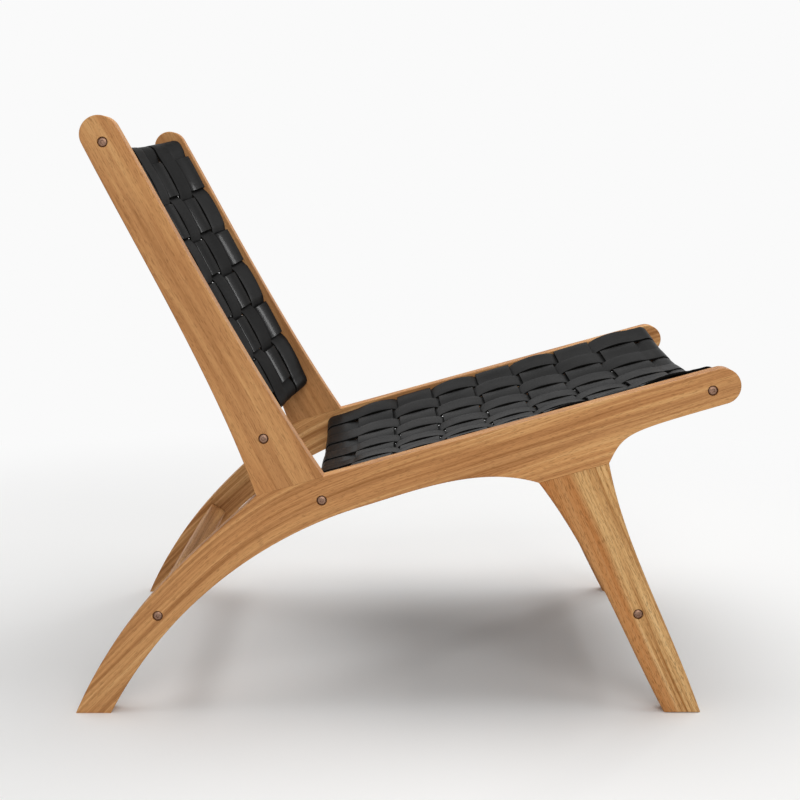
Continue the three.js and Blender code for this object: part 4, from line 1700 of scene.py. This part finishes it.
@dataclass
class Studio:
    """The floor, the lights and the camera."""

    plan: ChairPlan
    lens: float = 72.53
    sensor: float = 36.0
    pitch: float = 7.582
    yaw: float = 0.082
    eye: Spot = (-19.27, -2271.9, 655.9)
    background: float = 0.956
    ambient: float = 0.365
    floor_colour: Colour = (0.90, 0.90, 0.895, 1.0)
    floor_size: float = 40.0
    fade_start: float = 0.75
    fade_end: float = 1.9
    fade_depth: float = 0.8
    lamps: tuple[Lamp, ...] = (
        Lamp("overhead", power=67.0, size=(3.4, 3.4), place=(0.1, 0.5, 2.9), aim=(0.0, 0.0, 0.2)),
        Lamp("front", power=57.0, size=(2.4, 2.4), place=(0.5, -3.6, 2.3), aim=(0.0, 0.0, 0.35)),
        Lamp("strip", power=7.5, size=(0.22, 0.9), place=(1.56, 2.41, 1.27), aim=(-0.25, 0.2, 0.5)),
    )

    def build(self) -> None:
        """Sets up the whole studio."""
        bpy.context.scene.view_settings.view_transform = "Standard"
        self._camera()
        self._floor()
        self._world()
        for lamp in self.lamps:
            lamp.hang()

    def _camera(self) -> None:
        """Puts the camera where the photograph was taken from."""
        x, y, z = self.eye
        turn = (math.radians(90.0 - self.pitch), 0.0, math.radians(-self.yaw))
        bpy.ops.object.camera_add(location=((x + self.plan.shift) * MM, y * MM, z * MM), rotation=turn)
        camera = bpy.context.object
        camera.data.lens = self.lens
        camera.data.sensor_width = self.sensor
        bpy.context.scene.camera = camera

    @staticmethod
    def _seen(graph: Graph) -> Value:
        """Tells the rays of the camera, of reflections and of glass from the rest.

        Args:
            graph: The graph of the world or of a material.

        Returns:
            1 for such a ray, or else 0.
        """
        rays = [
            graph.node("ShaderNodeLightPath", None, None, ray)
            for ray in ("Is Camera Ray", "Is Glossy Ray", "Is Transmission Ray")
        ]
        return rays[0].larger(rays[1]).larger(rays[2])

    def _floor(self) -> None:
        """Lays a pale floor that keeps the shadow and turns white further away."""
        bpy.ops.mesh.primitive_plane_add(size=self.floor_size, location=(0.0, 0.0, 0.0))
        floor = named(bpy.context.object, "studio_floor")
        graph = new_graph("studio_floor")
        x, y, _ = graph.place()
        away = (x * x + y * y * self.fade_depth).root().step(self.fade_start, self.fade_end)
        matt = graph.node("ShaderNodeBsdfDiffuse", None, {"Color": self.floor_colour})
        white = graph.node("ShaderNodeEmission", None, {"Color": grey(self.background), "Strength": 1.0})
        shader = graph.node("ShaderNodeMixShader", None, {0: away * self._seen(graph), 1: matt, 2: white})
        graph.surface(shader)
        floor.data.materials.append(graph.owner)

    def _world(self) -> None:
        """Makes an even white surround with a plain level of light."""
        world = bpy.data.worlds.new("studio")
        bpy.context.scene.world = world
        graph = Graph(world)
        light = graph.node("ShaderNodeBackground", None, {"Color": grey(1.0), "Strength": self.ambient})
        white = graph.node("ShaderNodeBackground", None, {"Color": grey(self.background), "Strength": 1.0})
        graph.surface(graph.node("ShaderNodeMixShader", None, {0: self._seen(graph), 1: light, 2: white}))


def board_finishes(plan: ChairPlan, side: Side) -> dict[str, WoodFinish]:
    """The finishes of one side frame's boards.

    Args:
        plan: The chair's sizes.
        side: Which side of the chair.

    Returns:
        The finish of each board.
    """
    seed, striping = (0.0, 1.3) if side is Side.RIGHT else (3.7, 1.6)
    rail_turn = plan.metres((-190.0, 250.0))
    post_middle = plan.metres(plan.lower_back)
    leg_middle = plan.metres((281.0, 170.0))
    return {
        "side_rail": WoodFinish(
            f"rail_teak_{side.value}", BROWN_TEAK, angle=17.0, origin=rail_turn, seed=seed + 0.3,
            bend=0.28, contrast=striping,
        ),
        "back_post": WoodFinish(
            f"post_teak_{side.value}", BROWN_TEAK, angle=-61.0, origin=post_middle, seed=seed + 1.1,
            contrast=0.95, breadth=1.7, lines=0.12,
        ),
        "front_leg": WoodFinish(
            f"leg_teak_{side.value}", GOLDEN_TEAK, angle=-66.0, origin=leg_middle, seed=seed + 2.2,
            heart=0.024, contrast=1.45, pores=0.46, pore_layer=replace(PORES, low=0.54, high=0.64),
        ),
    }


def main() -> None:
    """Builds the chair and its studio."""
    logging.basicConfig(level=logging.INFO, format="%(message)s")
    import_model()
    bpy.ops.object.select_all(action="DESELECT")
    plan = ChairPlan()
    bolts = BoltSet(plan)
    Studio(plan).build()
    for side in Side:
        SideFrame(plan, bolts, side).build(board_finishes(plan, side))
    bolts.build(BronzeFinish())
    cross_teak = WoodFinish("cross_teak", BROWN_TEAK, GrainLie.ACROSS, seed=5.1)
    Stretcher(plan, bolts, "front_stretcher", tilt=-23.0).build(cross_teak)
    Stretcher(plan, bolts, "rear_stretcher", tilt=35.0).build(cross_teak)
    seat = WovenPanel(
        plan, bolts, "seat", origin=plan.seat_rear, turn=-plan.seat_slope - plan.seat_tilt,
        length=plan.seat_length * math.cos(math.radians(plan.seat_tilt)),
        cross_count=7, start_clear=26.0, end_clear=4.2, start_sag=18.0, end_sag=34.0, starts_over=True,
        rails=("seat_rear_rail", "seat_front_rail"), rail_bolts=("seat_rear", "seat_front"),
        softness=14, over_reach=0.6, long_arch=3.0, cross_arch=1.5, over_lift=1.9, under_drop=1.85,
        ledge=22.0,
    )
    back = WovenPanel(
        plan, bolts, "back", origin=plan.top_back, turn=plan.back_slope, length=plan.back_length,
        cross_count=6, start_clear=5.0, end_clear=2.0, start_sag=40.0, end_sag=40.0, starts_over=False,
        rails=("top_back_rail", "lower_back_rail"), rail_bolts=("top_back", "lower_back"),
        softness=24, over_reach=-1.2, long_arch=1.5, cross_arch=2.5, over_lift=2.2, under_drop=2.15,
    )
    # The panel rails and battens take the near-black teak, which is painted shade for the gaps of the weave.
    painted_shade_teak = WoodFinish("painted_shade_teak", PAINTED_SHADE_TEAK, GrainLie.ACROSS, seed=5.1)
    seat_leather = LeatherFinish("seat_leather", gloss=0.0065).material()
    back_leather = LeatherFinish("back_leather", gloss=0.0028).material()
    for panel, leather in ((seat, seat_leather), (back, back_leather)):
        panel.build_rails(painted_shade_teak)
        panel.build_straps(leather)


if __name__ == "__main__":
    main()
